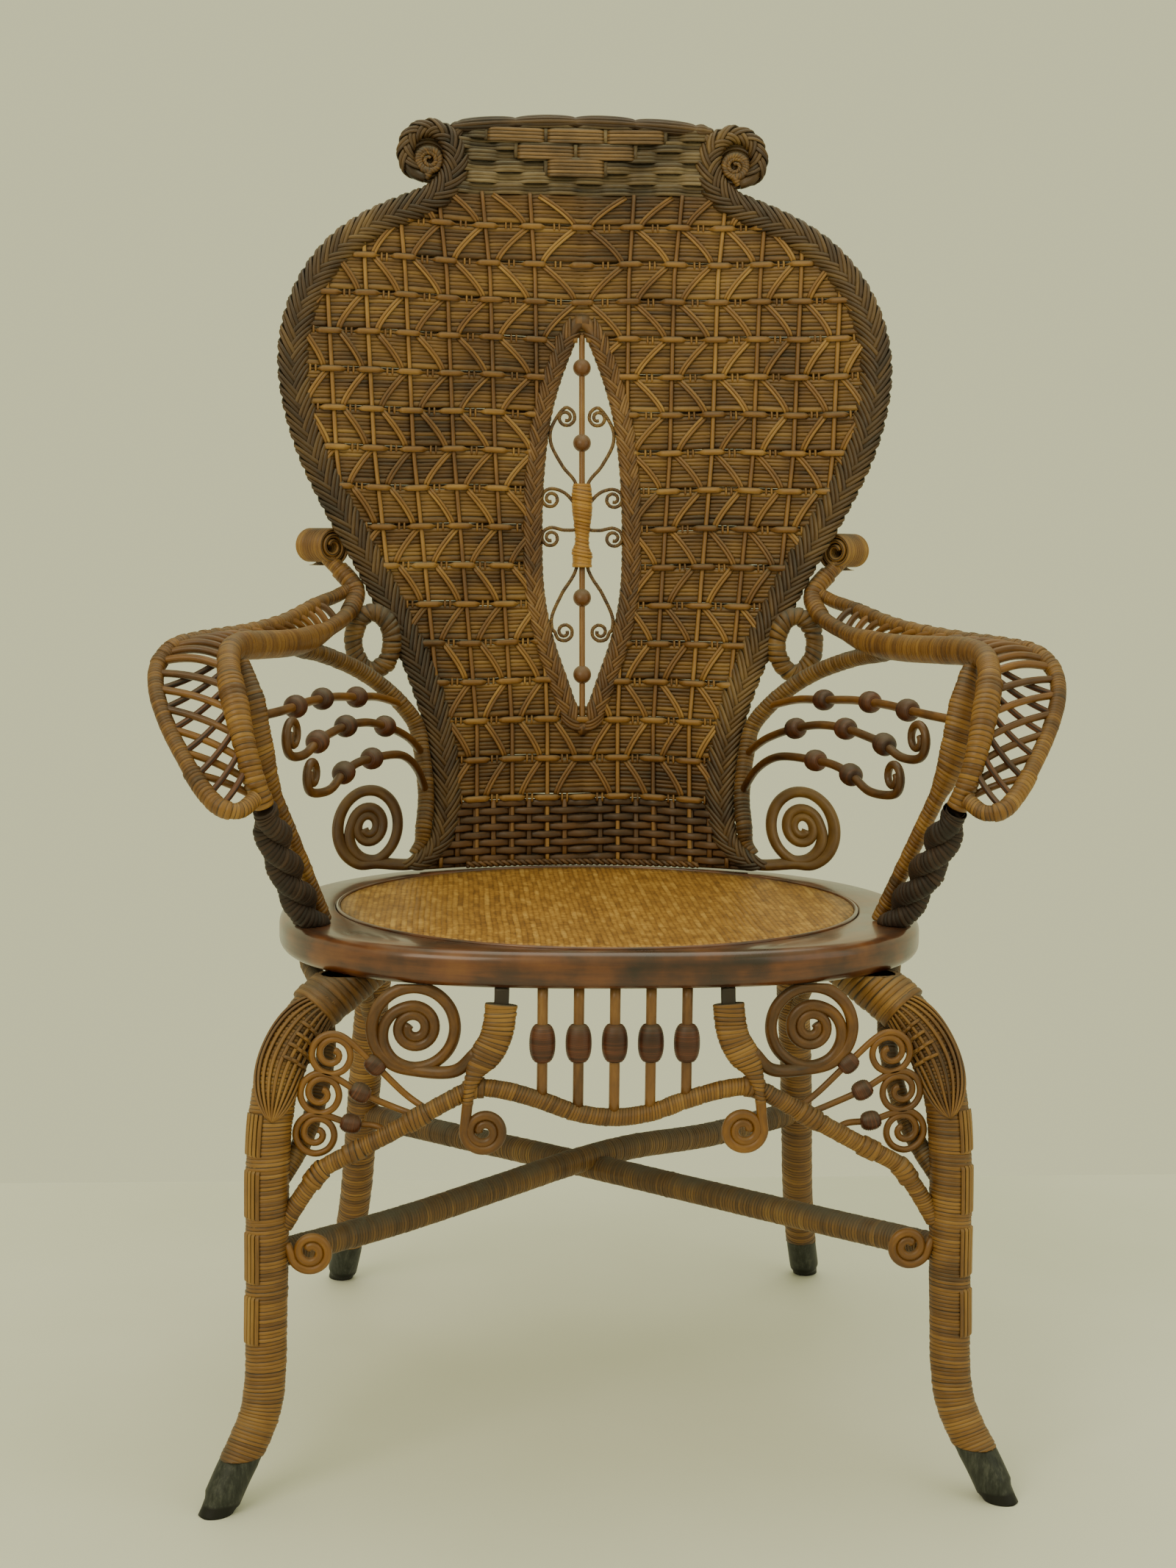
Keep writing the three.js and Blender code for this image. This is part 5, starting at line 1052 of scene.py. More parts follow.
braid_edge = [(back_half_width * row[0], stand_off, back_height * row[1]) for row in braid_shares]
panel_side = Line(braid_edge[6:]).places[::-1]
slit_side = Line([slit_place(*row) for row in slit_shares]).places[::-1]


def panel_reach(height):
    side = np.interp(height, panel_side[:, 2], panel_side[:, 0])
    over = (back_height - crest_border_radius - height) / crest_arch
    return np.minimum(side, crest_half * np.sqrt(np.maximum(over, 0)) + 2)


def slit_reach(height):
    return np.interp(height, slit_side[:, 2], slit_side[:, 0], left=-1, right=-1)


def stake_place(number, height):
    """Stakes fan out upwards, and the outer ones crowd together."""
    spacing = np.interp(height, stake_heights, stake_spacings)
    crowding = np.interp(height, stake_heights, stake_crowdings)
    return number * spacing - crowding * number * np.abs(number)


def from_stake(x, height):
    """The distance from a place to the nearest stake."""
    return np.abs(x[:, None] - stake_place(stake_numbers, height)).min(axis=1)


def inside_runs(places, spare, least):
    """The unbroken runs of a line's places that lie on the panel, if they have more places than the least."""
    x, height = np.abs(places[:, 0]), places[:, 2]
    on_panel = (x < panel_reach(height) - spare) & (x > slit_reach(height) + 1) & (height > 2)
    edges = np.flatnonzero(np.diff(np.concatenate([[0], on_panel.astype(int), [0]])))
    return [(start, end) for start, end in zip(edges[::2], edges[1::2]) if end - start > least]


def across_panel(height, depth, number, half_width, half_depth, step=5, sides=5):
    """Fibres across the panel at one height, parted at the slit. depth gives their places behind its face."""
    blocks = []
    random = np.random.default_rng(number)
    reach, gap = panel_reach(height) - 3, slit_reach(height)
    for start, end in [(-reach, -gap), (gap, reach)] if gap > 0 else [(-reach, reach)]:
        if end - start < shortest_reed:
            continue
        x = np.linspace(start, end, max(int((end - start) / step), 4))
        drift = np.interp(x, np.linspace(start, end, 9), random.normal(0, reed_drift, 9))
        sway = 0.7 * np.sin(x / 37 + height / 90) + 0.5 * np.sin(x / 19 - height / 70)
        places = np.stack([x, depth(x), height + sway + drift], axis=1)
        wide = half_width(x) if callable(half_width) else half_width
        blocks.append(bent_fibre(places, wide, half_depth, number, sides, 0.85))
        number += 1
    return blocks


# Round reed: golden brown, matt, each reed in its own tone, dusty on top, with painted shade where the reeds
# meet.
reed = cane_finish(
    "round_reed", ("#35210e", "#5e3f1d", "#7c592b", "#98743d"), "#33220f", "#77725c", 0.4,
    spread=0.38, patch=1.15,
)
# Split cane laced over the reeds: paler, with its skin on, with painted shade along its edges.
split_cane = cane_finish(
    "laced_split_cane", ("#452c11", "#724c21", "#926931", "#b38c4c"), "#22170a", "#77725c", 0.5
)
reeds, rear, bands, slants, ticks = [], [], [], [], []
number = 10
for row in range(row_count):
    foot = first_row + row_rise * row
    rise = min(row_rise, crest_foot - foot)

    def behind_stakes(x, height=foot + rise / 2):
        return 3 + 2.6 * np.exp(-((from_stake(x, height) / 4.5) ** 2))

    def bridge(x, height=foot):
        return 1 / (1 + (from_stake(x, height) / 10.5) ** 12)

    def band_width(x):
        return 1.1 + 2 * bridge(x)

    bands += across_panel(foot, lambda x: 4.8 - 5.7 * bridge(x), number, band_width, 0.9, 2)
    reeds += across_panel(foot + 6, lambda x: behind_stakes(x) - 0.5, number + 2, 3, 0.95, 4)
    for k in range(math.ceil(rise / rear_pitch)):
        def in_and_out(x, height=foot + rear_pitch * k, turned=(row + k // 2) % 2):
            stakes_passed = np.interp(x, stake_place(stake_numbers, height), stake_numbers + turned)
            return 6.3 + 1.5 * np.sin(stakes_passed * TURN / 2)

        rear += across_panel(foot + 0.6 + rear_pitch * k, in_and_out, 9000 + 20 * row + k, 2.4, 1.1, 7)
    height = foot + 9.2 + reed_pitch / 2
    number += 4
    while height < foot + rise - 2.2:
        reeds += across_panel(height, behind_stakes, number, 2.15, 1.2)
        height += reed_pitch
        number += 2
    for k in stake_numbers[:-1]:
        left, right = stake_place(k, foot), stake_place(k + 1, foot)
        for shift in (-2.6, 2.2):
            x = (left + right) / 2 + shift
            tie = [(1.5, -4.5), (0, -2), (0, 1.5), (1.5, 4)]
            places = np.array([(x, 1.6 + behind, foot + above) for behind, above in tie])
            number += 1
            if inside_runs(places, 8, 3):
                ticks.append(bent_fibre(places, 1.05, 0.8, number, 5))
        if rise < least_slant_rise:
            continue
        rising = (k < 0) == (row % 2 == 0)
        low_side, high_side = (left + 8, right - 6) if rising else (right - 7, left + 7)
        shares = np.linspace(0, 1, 10)
        dive = 2.4 * np.exp(-shares * 9) + 2.4 * np.exp((shares - 1) * 9)
        x = mix(low_side, high_side, shares**1.35)
        middle = np.stack([x, dive - 0.3, mix(foot + 1.5, foot + rise - 1.5, shares)], axis=1)
        slope = unit(np.gradient(middle, axis=0))
        for shift in (-1.35, 1.35):
            places = middle + np.stack([slope[:, 2], slope[:, 1] * 0, -slope[:, 0]], axis=1) * shift
            number += 1
            for start, end in inside_runs(places, 5, 3):
                slants.append(bent_fibre(places[start:end], 1.5, 1.1, number))
stakes = []
heights = np.arange(3, crest_foot + 6, 7.0)
for k in stake_numbers:
    places = np.stack([stake_place(k, heights), np.full(len(heights), 1.9), heights], axis=1)
    for start, end in inside_runs(places, 4, 2):
        stakes.append(bent_fibre(places[start:end], 2.15, 1.9, 5000 + k + start))
check = []
for i in range(8):
    def over_under(x, i=i):
        return 2.6 + 2.7 * np.cos(x / check_pitch * TURN / 2 + i * TURN / 2)

    check += across_panel(8.5 + check_rise * i, over_under, 6000 + 2 * i, 3.4, 0.9, 3, 6)
    check += across_panel(5 + check_rise * i, lambda x: 7.4 + 0 * x, 6050 + 2 * i, 3.75, 0.8, 9, 6)
for k in stake_numbers:
    places = np.array([(check_pitch * k, 2.6, height) for height in (2.5, 20, 40, 62)])
    for start, end in inside_runs(places, 4, 2):
        check.append(bent_fibre(places[start:end], 2.6, 1.0, 6100 + k))
cord_x = np.arange(-cord_half_width, cord_half_width, 1.6)
for ply in range(2):
    angles = cord_x / 11 * TURN + ply * TURN / 2
    places = np.stack([cord_x, 0.5 + 1.6 * np.cos(angles), 4.2 + 1.6 * np.sin(angles)], axis=1)
    check.append(bent_fibre(places, 1.75, 1.75, 6200 + ply))
crest = []
number = 7000
height = crest_foot + reed_pitch * 0.4
while height < back_height - crest_border_radius:
    group = int((height - crest_foot) // 10.7)
    inner = next((row for row in brick_rows if row[0] <= height < row[1]), None)

    def depth(x, group=group, inner=inner):
        plain = 3.2 + 3.0 * np.tanh(2.4 * np.sin((x - crest_shift) / 25.5 * TURN / 2 + group * TURN / 2))
        if inner is None:
            return plain
        shifted = (x - crest_shift) / brick + inner[2]
        joint = np.abs(shifted - np.round(shifted)) * brick
        bricked = -0.4 + 5.4 * np.exp(-((joint / 4.2) ** 2))
        return np.where(np.abs(x - crest_shift) < inner[3] * brick / 2, bricked, plain)

    crest += across_panel(height, depth, number, 2.05, 1.4, 3, 6)
    crest += across_panel(height, lambda x: 6.6 + 0 * x, number + 900, 2.1, 0.9, 12, 6)
    number += 2
    height += reed_pitch
for low, high, shift, wide in brick_rows[:3]:
    for joint in np.arange(wide + 1) - wide / 2:
        x = crest_shift + joint * brick
        places = np.array([(x, 0.9, height) for height in (low + 1, mix(low, high, 0.5), high - 1)])
        crest.append(bent_fibre(places, 2.3, 1.5, number))
        number += 1
bricks = []
for low, high, shift, wide in brick_rows[:3]:
    for n in range(wide):
        middle = crest_shift + (n - (wide - 1) / 2) * brick
        for height in np.arange(low + 1.7, high - 1, brick_reed_pitch):
            x = middle + np.linspace(-brick / 2 + 2, brick / 2 - 2, 19)
            dive = 5.5 * (np.abs(x - middle) / (brick / 2)) ** 9
            number += 1
            bricks.append(bent_fibre(np.stack([x, dive - 2.1, height + 0 * x], axis=1), 1.8, 1.1, number))
build_piece("back_reeds", reeds, reed, "weave", ["back_panel"])
build_piece("back_rear_reeds", rear, reed, "weave")
build_piece("back_bridging_bands", bands, split_cane, "weave")
build_piece("back_slanting_canes", slants, split_cane, "weave")
build_piece("back_row_ties", ticks, split_cane, "weave")
build_piece("back_stakes", stakes, split_cane, "weave")
# Flat strips at the foot, where feet and cushions have rubbed: darker, hardly dusty, with painted shade near
# black along their edges.
check_strip = cane_finish(
    "foot_check_strip", ("#281809", "#4a2f14", "#623f19", "#805727"), "#0e0904", "#6f6b58", 0.1, patch=1.1
)
build_piece("back_foot_check", check, check_strip, "weave")
# Fine reed of the crest: grey-brown, bleached by the light, very dusty, with painted shade near black where
# the reeds meet.
crest_reed = cane_finish(
    "crest_reed", ("#2b1f12", "#4f3d24", "#6e5837", "#948060"), "#0e0a05", "#86806f", 0.8,
    spread=0.4, patch=1.2,
)
build_piece("back_crest_weave", crest, crest_reed, "weave")
# The bricks' reed: lighter, with less dust, and painted shade where the reeds meet.
brick_reed = cane_finish(
    "light_crest_reed", ("#443018", "#6c5030", "#8b6a42", "#a98a60"), "#1c1108", "#86806f", 0.4, patch=1.1
)
build_piece("back_crest_bricks", bricks, brick_reed, "weave")

# Border braids: reeds lapped two by two in a herringbone round the panel's edge, over a plain core. Each
# ends above in the volute and below in a scroll of polished cane that stands on the seat.
base_scroll_radius = 35
base_scroll_pole = 5.2
base_scroll_tip = 3.7
base_scroll_centre = np.array((back_half_width * 0.735, stand_off, base_scroll_radius * 1.257))
base_rows = [(0, base_scroll_radius * 0.96), (1, base_scroll_radius * 0.88), (1.32, 18.5), (3.3, 4.6)]
core_inset = 2.4
reed_sink = 1.4
# Plaited reed: grey-brown, weathered, dusty on top, with painted shade near black between the strands.
braid_reed = cane_finish(
    "plaited_reed", ("#1f1308", "#3e2812", "#5a401f", "#7c6037"), "#0f0a05", "#716d5a", 0.36, patch=1.2
)
# Round cane at the seat: brown, half dull, with dust on top.
weathered_cane = cane_finish(
    "weathered_round_cane", ("#2f1c0a", "#543615", "#70501f", "#92703a"), None, "#6f6b5c", rough=(0.3, 0.5)
)


def herringbone(line, end, pitch, slant, strand_reeds, reed_radius, flat, number):
    """A flat plait along a line. Strands of a few reeds come round both edges from behind, slant along
    the front and dive under the next strand from the other side. A plain core fills the plait."""
    places, sizes = line.at(np.linspace(0, end, int(end / 5)))
    blocks = [bent_fibre(places, sizes[:, 0] - core_inset, sizes[:, 1] - core_inset, number, 7)]
    degrees = np.array([-82, -60, -38, -18, 0, 16, 32, 46, 60, 72, 82, 92, 101])
    dive = np.interp(degrees, [-82, -66, 66, 86, 101], [-2.4, 0, 0.25, -0.5, -3.2])[:, None]
    turned = np.radians(degrees)
    for k in range(int(end / pitch)):
        for hand in (1, -1):
            number += 1
            own = (k + (0.5 if hand < 0 else 0)) * pitch
            narrow = line.at(own)[1][0] / line.sizes[:, 0].max()
            lengths = own + slant * narrow * np.sign(turned) * (1 - np.cos(turned))
            if lengths[-1] > end or lengths[0] < 0:
                continue
            places, sizes = line.at(lengths)
            along, wide, front = cross_directions(places, forwards)
            wide, front = wide * np.cos(turned)[:, None] * hand, front * np.sin(turned)[:, None]
            outward = unit(wide / sizes[:, :1] + front / sizes[:, 1:])
            surface = places + wide * (sizes[:, :1] - reed_sink) + front * (sizes[:, 1:] - reed_sink)
            across = np.cross(outward, unit(np.gradient(surface, axis=0)))
            for k_reed in range(strand_reeds):
                shift = (k_reed - (strand_reeds - 1) / 2) * reed_radius * 1.7
                run = surface + outward * dive + across * shift
                own_number = number * 3 + k_reed
                blocks.append(bent_fibre(run, reed_radius, reed_radius * flat, own_number, 7, facing=outward))
    return blocks


braid_sizes = [(braid_half_width * row[2], braid_half_depth * row[3]) for row in braid_shares]
base_squash = 1 / math.hypot(1, 2 * foot_hollow * base_scroll_centre[0] / hollow_half_width**2)
base_turns = spiral(base_scroll_centre, base_rows, -TURN / 4 * 1.15, squash=base_squash)
base_taper = np.linspace(base_scroll_pole, base_scroll_tip, len(base_turns))
braid_line = Line([*braid_edge, *base_turns], [*braid_sizes, *zip(base_taper, base_taper)])
braid_end = braid_line.to_mark(len(braid_edge) - 1)


def border_plait(seed):
    return herringbone(braid_line, braid_end + 16, 13, 22, 2, 2, 0.75, seed * 1000)


def base_scroll(seed):
    places, sizes = braid_line.at(np.arange(braid_end - 14, braid_line.length, 2.6))
    radii = np.minimum(sizes[:, 0], base_scroll_pole)
    return [bent_fibre(places, radii, radii, seed * 1000, 18)]


braid_cut = seat_top + 0.3
build_pair("back_braid_{}_plait", (20, 21), border_plait, braid_reed, "weave", "back_braid_{}", low=braid_cut)
build_pair("back_braid_{}_scroll", (20, 21), base_scroll, weathered_cane, "cane", low=braid_cut)

# Crest border: the reeds turn over the top edge, are tied down at even distances and run along it in lobes.
# At either end a short bundle of reeds fills the corner between the border and the volute.
border_reeds = 12
narrow_lobe = 9
corner_rows = [(16, 694), (8, 690), (4, 682), (4, 670), (9, 660)]
corner_reeds = 7
crest_points = [
    (crest_half * share, stand_off, back_height - crest_border_radius - crest_arch * share**2)
    for share in (-1, -0.75, -0.4, 0, 0.4, 0.75, 1)
]
crest_line = Line(crest_points)
stations = np.arange(0, crest_line.length, 2.4)
places = crest_line.at(stations)[0]
along, wide, front = cross_directions(places, forwards)
ends = np.clip(np.minimum(stations, crest_line.length - stations) / 12, 0, 1) ** 0.5
from_middle = places[:, 0] - crest_shift
wide_lobes = np.abs(np.sin(from_middle / brick * TURN / 2)) ** 0.35
narrow_lobes = 0.55 + 0.35 * np.abs(np.sin(from_middle / narrow_lobe * TURN / 2))
lobes = np.where(np.abs(from_middle) < brick * 2, wide_lobes, narrow_lobes)
border = []
for k in range(border_reeds):
    angle = TURN * k / border_reeds
    outward = front * math.cos(angle) - wide * math.sin(angle)
    run = places + outward * ((2.6 + 3.6 * lobes) * ends)[:, None]
    border.append(bent_fibre(run, 2, 1.4, 8000 + k, 7, facing=outward))
places = Line([(crest_half - inset, stand_off, height) for inset, height in corner_rows]).even(3)[0]
along, wide, front = cross_directions(places, forwards)
count = len(places)
taper = np.interp(np.arange(count), [0, 3, count - 3, count], [0.3, 1, 1, 0.3])[:, None]
for side in (1, -1):
    for k in range(corner_reeds):
        angle = TURN * k / corner_reeds
        outward = wide * math.cos(angle) + front * math.sin(angle)
        run = places + outward * 3.3 * taper
        block = bent_fibre(run, 2 * taper, 1.6 * taper, 8100 + k + 10 * side, 7, facing=outward)
        border.append(block if side > 0 else other_side(block))
build_piece("crest_border_reeds", border, braid_reed, "weave", ["crest_border"])

# Volute eyes: a wound cane coiled inside each volute, in front of a flat coil of plain reed that closes
# the hole and a plug of wood in its middle.
volute_rows = [(0, 11), (0.9, 10.2), (2.6, 2.3)]
volute_cane = 3.8
volute_tip = 1.8
ground_rows = [(0, 22), (0.8, 20.5), (5.2, 0.5)]
ground_reed = 2.4
ground_behind = (0, 6.5, 1.2)
plug_radius = 6
plug_behind = [(0, 4.5, 0.5), (0, 6, 0.8), (0, 8.5, 1.2)]
eye_middle = np.array((back_half_width * 0.545, stand_off - 1, back_height * 0.93))
eye_points = [braid_edge[0], *spiral(eye_middle, volute_rows, -TURN / 4)]
eye_line = Line(eye_points, np.linspace(volute_cane, volute_tip, len(eye_points)))
ground_turns = spiral(eye_middle + ground_behind, ground_rows, -TURN / 8)


def eye_ground(seed):
    plug = bent_fibre(eye_middle + plug_behind, plug_radius, plug_radius, seed * 1000 + 1, 12, facing=upwards)
    return [bent(plain_cane(ground_turns, ground_reed, seed * 1000, 2)), plug]


def eye_cane(seed):
    return [bent(winding(eye_line, 2.8, seed, sides=14, groove=0.3, loose=0.1))]


build_pair("volute_eye_{}_ground", (22, 23), eye_ground, braid_reed, "weave")
build_pair("volute_eye_{}_cane", (22, 23), eye_cane, shaded_dusty_wrap, "wrap", "volute_eye_{}")

# Slit braid: the same herringbone, of strands of three thin reeds, laced to the panel up both sides of
# the almond slit. The two sides meet in an arch at its head and at its foot.
slit_braid_size = (9.6, 7.5)
slit_braid_shares = [
    (-0.14, 1.034), (0.08, 1.032), (0.27, 1), (0.44, 0.95), (0.65, 0.875), (0.83, 0.785), (0.97, 0.64),
    (1.01, 0.49), (0.97, 0.34), (0.79, 0.22), (0.48, 0.105), (0.31, 0.045), (0.15, 0.002), (-0.1, -0.014),
]
# The slit's reed: a lighter brown than the border, rubbed by hands and cushions, with painted shade between
# the strands.
slit_reed = cane_finish(
    "slit_plaited_reed", ("#33210f", "#58391a", "#765127", "#977243"), "#170f07", "#716d5a", 0.4, patch=1.1
)
slit_line = Line([slit_place(*row) for row in slit_braid_shares], [slit_braid_size] * len(slit_braid_shares))
slit_blocks = herringbone(slit_line, slit_line.length, 15, 16, 3, 1.7, 0.7, 24000)
left_blocks = herringbone(slit_line, slit_line.length, 15, 16, 3, 1.7, 0.7, 25000)
slit_blocks += [other_side(block) for block in left_blocks]
build_piece("slit_braid_plait", slit_blocks, slit_reed, "weave", ["slit_braid"])

# Slit rod: a round maple rod down the middle of the slit, held at both ends by the braid. Four turned
# beads are strung on it.
slit_rod_radius = 2.8
slit_bead_radius = 8.6
# Turned beads: dark reddish maple, satin, dusty on top.
turned_bead = cane_finish(
    "turned_bead", ("#3f2412", "#603b1d", "#7a5029", "#9c7448"), None, dust_share=0.5, rough=(0.3, 0.45),
    spread=0.1, streak=0.4,
)
rod_line = Line([slit_place(0, share) for share in (0, 0.126, 0.322, 0.72, 0.915, 1)], slit_rod_radius)
rod_block = bent_fibre(rod_line.even(8)[0], slit_rod_radius, slit_rod_radius, 26000, 14)
polar = np.linspace(0, TURN / 2, 17)
radii = np.maximum(slit_bead_radius * np.sin(polar), slit_rod_radius * 0.7)
slit_beads = []
for mark in (1, 2, 3, 4):
    places = rod_line.at(rod_line.to_mark(mark) - slit_bead_radius * np.cos(polar))[0]
    slit_beads.append(bent_fibre(places, radii, radii, 260 + mark, 24))
build_piece("slit_rod_cane", [rod_block], rod_cane, "cane", ["slit_rod"])
build_piece("slit_rod_beads", slit_beads, turned_bead, "bead")

# Slit scrolls: on each side of the rod a long round cane and a short one, coiled at both ends. They are
# bound to the rod at their middle.
slit_cane = 1.7
slit_curl_radius = 9.5
slit_curl_eye = 2.6
near_rod = (slit_rod_radius + slit_cane + 2 * fit) / slit_half_width


def slit_curl(across, height, start, hand):
    rows = [(0, slit_curl_radius), (1.55, slit_curl_eye)]
    return spiral(slit_place(across, height), rows, start, hand, 7)


def slit_run(*rows):
    return [slit_place(*row) for row in rows]


long_cane = [
    *slit_curl(0.33, 0.785, TURN / 4, 1)[::-1],
    *slit_run((0.62, 0.76), (0.64, 0.72), (0.4, 0.66), (near_rod, 0.61), (near_rod, 0.4)),
    *slit_run((0.42, 0.33), (0.62, 0.27), (0.6, 0.24)),
    *slit_curl(0.36, 0.235, 0, -1),
]
side_cane = [
    *slit_curl(0.64, 0.575, TURN / 4, -1)[::-1],
    *slit_run((0.35, 0.59), (near_rod, 0.55), (near_rod, 0.5), (0.35, 0.495)),
    *slit_curl(0.64, 0.475, TURN / 4, -1),
]


def slit_canes(seed):
    lines = [Line(points, slit_cane) for points in (long_cane, side_cane)]
    own = {"sides": 10, "groove": 0.16, "loose": 0.05}
    return [bent(winding(line, 2.4, seed * 2 + k, **own)) for k, line in enumerate(lines)]


build_pair("slit_scroll_{}_canes", (27, 28), slit_canes, weathered_cane, "cane", "slit_scroll_{}")

# Slit binding: pale split cane wound round the rod and the canes beside it, waisted like a vase. It ties
# the fretwork of the slit together.
binding_radius = 10.2
binding_shares = [
    (0.4, 0.92), (0.435, 0.94), (0.46, 0.66), (0.49, 0.7), (0.525, 0.85), (0.56, 1), (0.59, 0.95),
    (0.615, 0.84),
]
# Pale split cane: straw yellow, clean, with painted shade, brown, between the wraps.
pale_wrap = cane_finish(
    "pale_split_cane", ("#7a5222", "#a06f2c", "#ba8836", "#cf9f4a"), "#553715", dust_share=0.3, patch=0.6
)
binding_points = [slit_place(0, share) for share, wide in binding_shares]
binding_line = Line(binding_points, [binding_radius * wide for share, wide in binding_shares])
binding = bent(winding(binding_line, 3.2, 29, sides=20, groove=0.45, loose=0.25))
build_piece("slit_binding_cane", [binding], pale_wrap, "wrap", ["slit_binding"])

# Arm rolls: short barrels of split reed, ten strips side by side, coiled where the arm rail meets the
# back and nailed to the braid.
arm_spread = 344
arm_reach = 190
arm_height = 220
roll_radius = 19.5
roll_eye = 4
roll_band = 4.4
roll_length = 40
roll_strips = 10
outer_side = Line(braid_edge[15:]).places[::-1]


def braid_outer(share, across=0, along=0, up=0):
    """A place on the braid's outer edge at a share of the arm's height above the seat, or moved off it."""
    height = arm_height * share
    x = np.interp(height, outer_side[:, 2], outer_side[:, 0]) + braid_half_width
    return bend(np.array((x, stand_off, height))) + (across, along, up)


def arm_place(across, along, height):
    edge = braid_outer(height)
    return np.array((mix(edge[0], arm_spread, across), mix(-arm_reach, edge[1], along), edge[2]))


roll_axis = unit(np.array((0.62, 0.79, 0)))
roll_centre = braid_outer(1.341, roll_radius * 0.55, roll_radius * 0.1)
roll_rows = [(0, roll_radius - roll_band / 2), (2.7, roll_eye)]
roll_line = Line(spiral(np.zeros(3), roll_rows, -TURN / 4, 1, 24, np.cross(upwards, roll_axis)))


def arm_roll(seed):
    places = roll_line.even(2)[0]
    thickness = (roll_band / 2 - 0.2) * np.clip(np.arange(len(places)) / 12, 0.1, 1)
    blocks = []
    for k in range(roll_strips):
        moved = places + roll_centre + roll_axis * (k + 0.5) * roll_length / roll_strips
        half_width = roll_length / roll_strips / 2
        blocks.append(fibre(moved, half_width, thickness, unit(places), seed * 1000 + k, 8))
    return blocks


build_pair("arm_roll_{}_reeds", (30, 30), arm_roll, split_cane, "weave", "arm_roll_{}")

# Arm rails: thick poles wound very tight with fine cane, from the roll forward and down to the front post.
# Coarser cane is wound over the bend at the back, over the fork there and down the front.
arm_rail_radius = 7.2
arm_rail_half_height = 11.5
arm_rail_half_width = 9
arm_rail_shares = [
    (0.305, 0.848, 1.01), (0.397, 0.735, 0.98), (0.489, 0.563, 0.975), (0.585, 0.367, 0.985),
    (0.641, 0.247, 0.99), (0.678, 0.168, 0.975), (0.678, 0.107, 0.905), (0.66, 0.07, 0.795),
    (0.64, 0.049, 0.67), (0.617, 0.052, 0.55), (0.591, 0.066, 0.465),
]
# Fine wound cane: golden brown, smooth and satin from hands, patchy, dusty on top, with painted shade in the
# grooves between the wraps.
smooth_wrap = cane_finish(
    "fine_wound_cane", ("#3c260d", "#6d461a", "#8e6327", "#ac8240"), "#2e1c0a", "#77735f", 0.45, (0.32, 0.5),
    streak=0.5, patch=1.35,
)
stem = [
    roll_centre + roll_axis * roll_length * 0.25 - upwards * roll_radius * 0.5,
    braid_outer(1.16, arm_rail_radius * 1.6),
    braid_outer(1.08, arm_rail_radius * 3.4, -arm_rail_radius * 2),
]
thin = (arm_rail_radius, arm_rail_radius)
tall = (arm_rail_half_height, arm_rail_half_width)
square = (arm_rail_half_width, arm_rail_half_width)
arm_rail_sizes = [thin] * 4 + [tall] * 4 + [square] * 3 + [thin] * 3
arm_rail_line = Line([*stem, *[arm_place(*row) for row in arm_rail_shares]], arm_rail_sizes)


def arm_rail(seed):
    """The fine winding, and the coarse ones over it at the bend, down the front and at the fork."""
    bend_length = arm_rail_line.to_mark(2)
    front, fork = arm_rail_line.to_mark([9.1, 13.5]), arm_rail_line.to_mark([0.35, 1])
    return [
        winding(arm_rail_line, 2, seed, sideways, 18, groove=0.16, loose=0.05),
        winding(arm_rail_line, 3.6, seed + 40, sideways, 18, bend_length - 26, bend_length + 4, proud=1.3),
        winding(arm_rail_line, 3.9, seed + 50, sideways, 18, *front, groove=0.6, loose=0.25, proud=1.2),
        winding(arm_rail_line, 4.2, seed + 60, sideways, 18, *fork, groove=0.5, proud=1.6),
    ]


build_pair("arm_rail_{}_winding", (31, 32), arm_rail, smooth_wrap, "wrap", "arm_rail_{}")

# Arm wings: a wound outer rail that sweeps out, forward and down to the post. Close ribs run from it
# over the arm's top to the inner rail, and canes cross in a lattice lower down.
wing_radius = 6.2
wing_shares = [
    (0.202, 0.993, 1.14), (0.306, 0.942, 1.115), (0.385, 0.858, 1.09), (0.487, 0.699, 1.055),
    (0.592, 0.512, 1.035), (0.716, 0.368, 1.022), (0.836, 0.256, 1.012), (0.941, 0.186, 0.99),
    (1, 0.149, 0.93), (0.996, 0.114, 0.85), (0.952, 0.084, 0.75), (0.88, 0.052, 0.635),
    (0.799, 0.019, 0.525), (0.73, 0, 0.47), (0.67, 0.007, 0.462), (0.611, 0.033, 0.5),
]
rib_starts = np.linspace(0.1, 0.52, 17)
rib_ends = np.interp(rib_starts, [0.1, 0.35, 0.52], [0.2, 0.45, 0.675])
wing_root = [arm_rail_line.at(arm_rail_line.to_mark(mark))[0] for mark in (0.4, 0.85)]
wing_root[1] += (2, -2, 0)
wing_line = Line([*wing_root, *[arm_place(*row) for row in wing_shares]], wing_radius)


def wing_length(share):
    """The length along the outer rail at a share of its run past the stem."""
    return wing_line.to_mark(2 + share * (len(wing_shares) - 1))


def rib(outer, inner, rise, number, radius=3.2):
    """A cane from a share of the outer rail to a share of the inner one, arched by the rise."""
    start = wing_line.at(wing_length(outer))[0]
    end = arm_rail_line.at(arm_rail_line.to_mark(inner * arm_rail_line.marks[-1]))[0]
    shares = np.linspace(0, 1, 12)[:, None]
    places = mix(start, end, shares) + upwards * np.sin(shares * TURN / 2) * rise
    return fibre(places, radius, radius, upwards, number, 8)


def wing_rail(seed):
    """The outer rail's winding, the lashings that hold the ribs, and a coarse one over its lowest part."""
    blocks = [winding(wing_line, 2.4, seed, sideways, 14, groove=0.2, loose=0.08)]
    for k, share in enumerate(rib_starts):
        ends = (wing_length(share) - 3.4, wing_length(share) + 3.4)
        blocks.append(winding(wing_line, 2.2, seed * 3 + k, sideways, 14, *ends, proud=0.6))
    lowest = (wing_length(0.76), wing_length(0.9))
    blocks.append(winding(wing_line, 3.4, seed * 5, sideways, 14, *lowest, groove=0.45, proud=0.8))
    return blocks


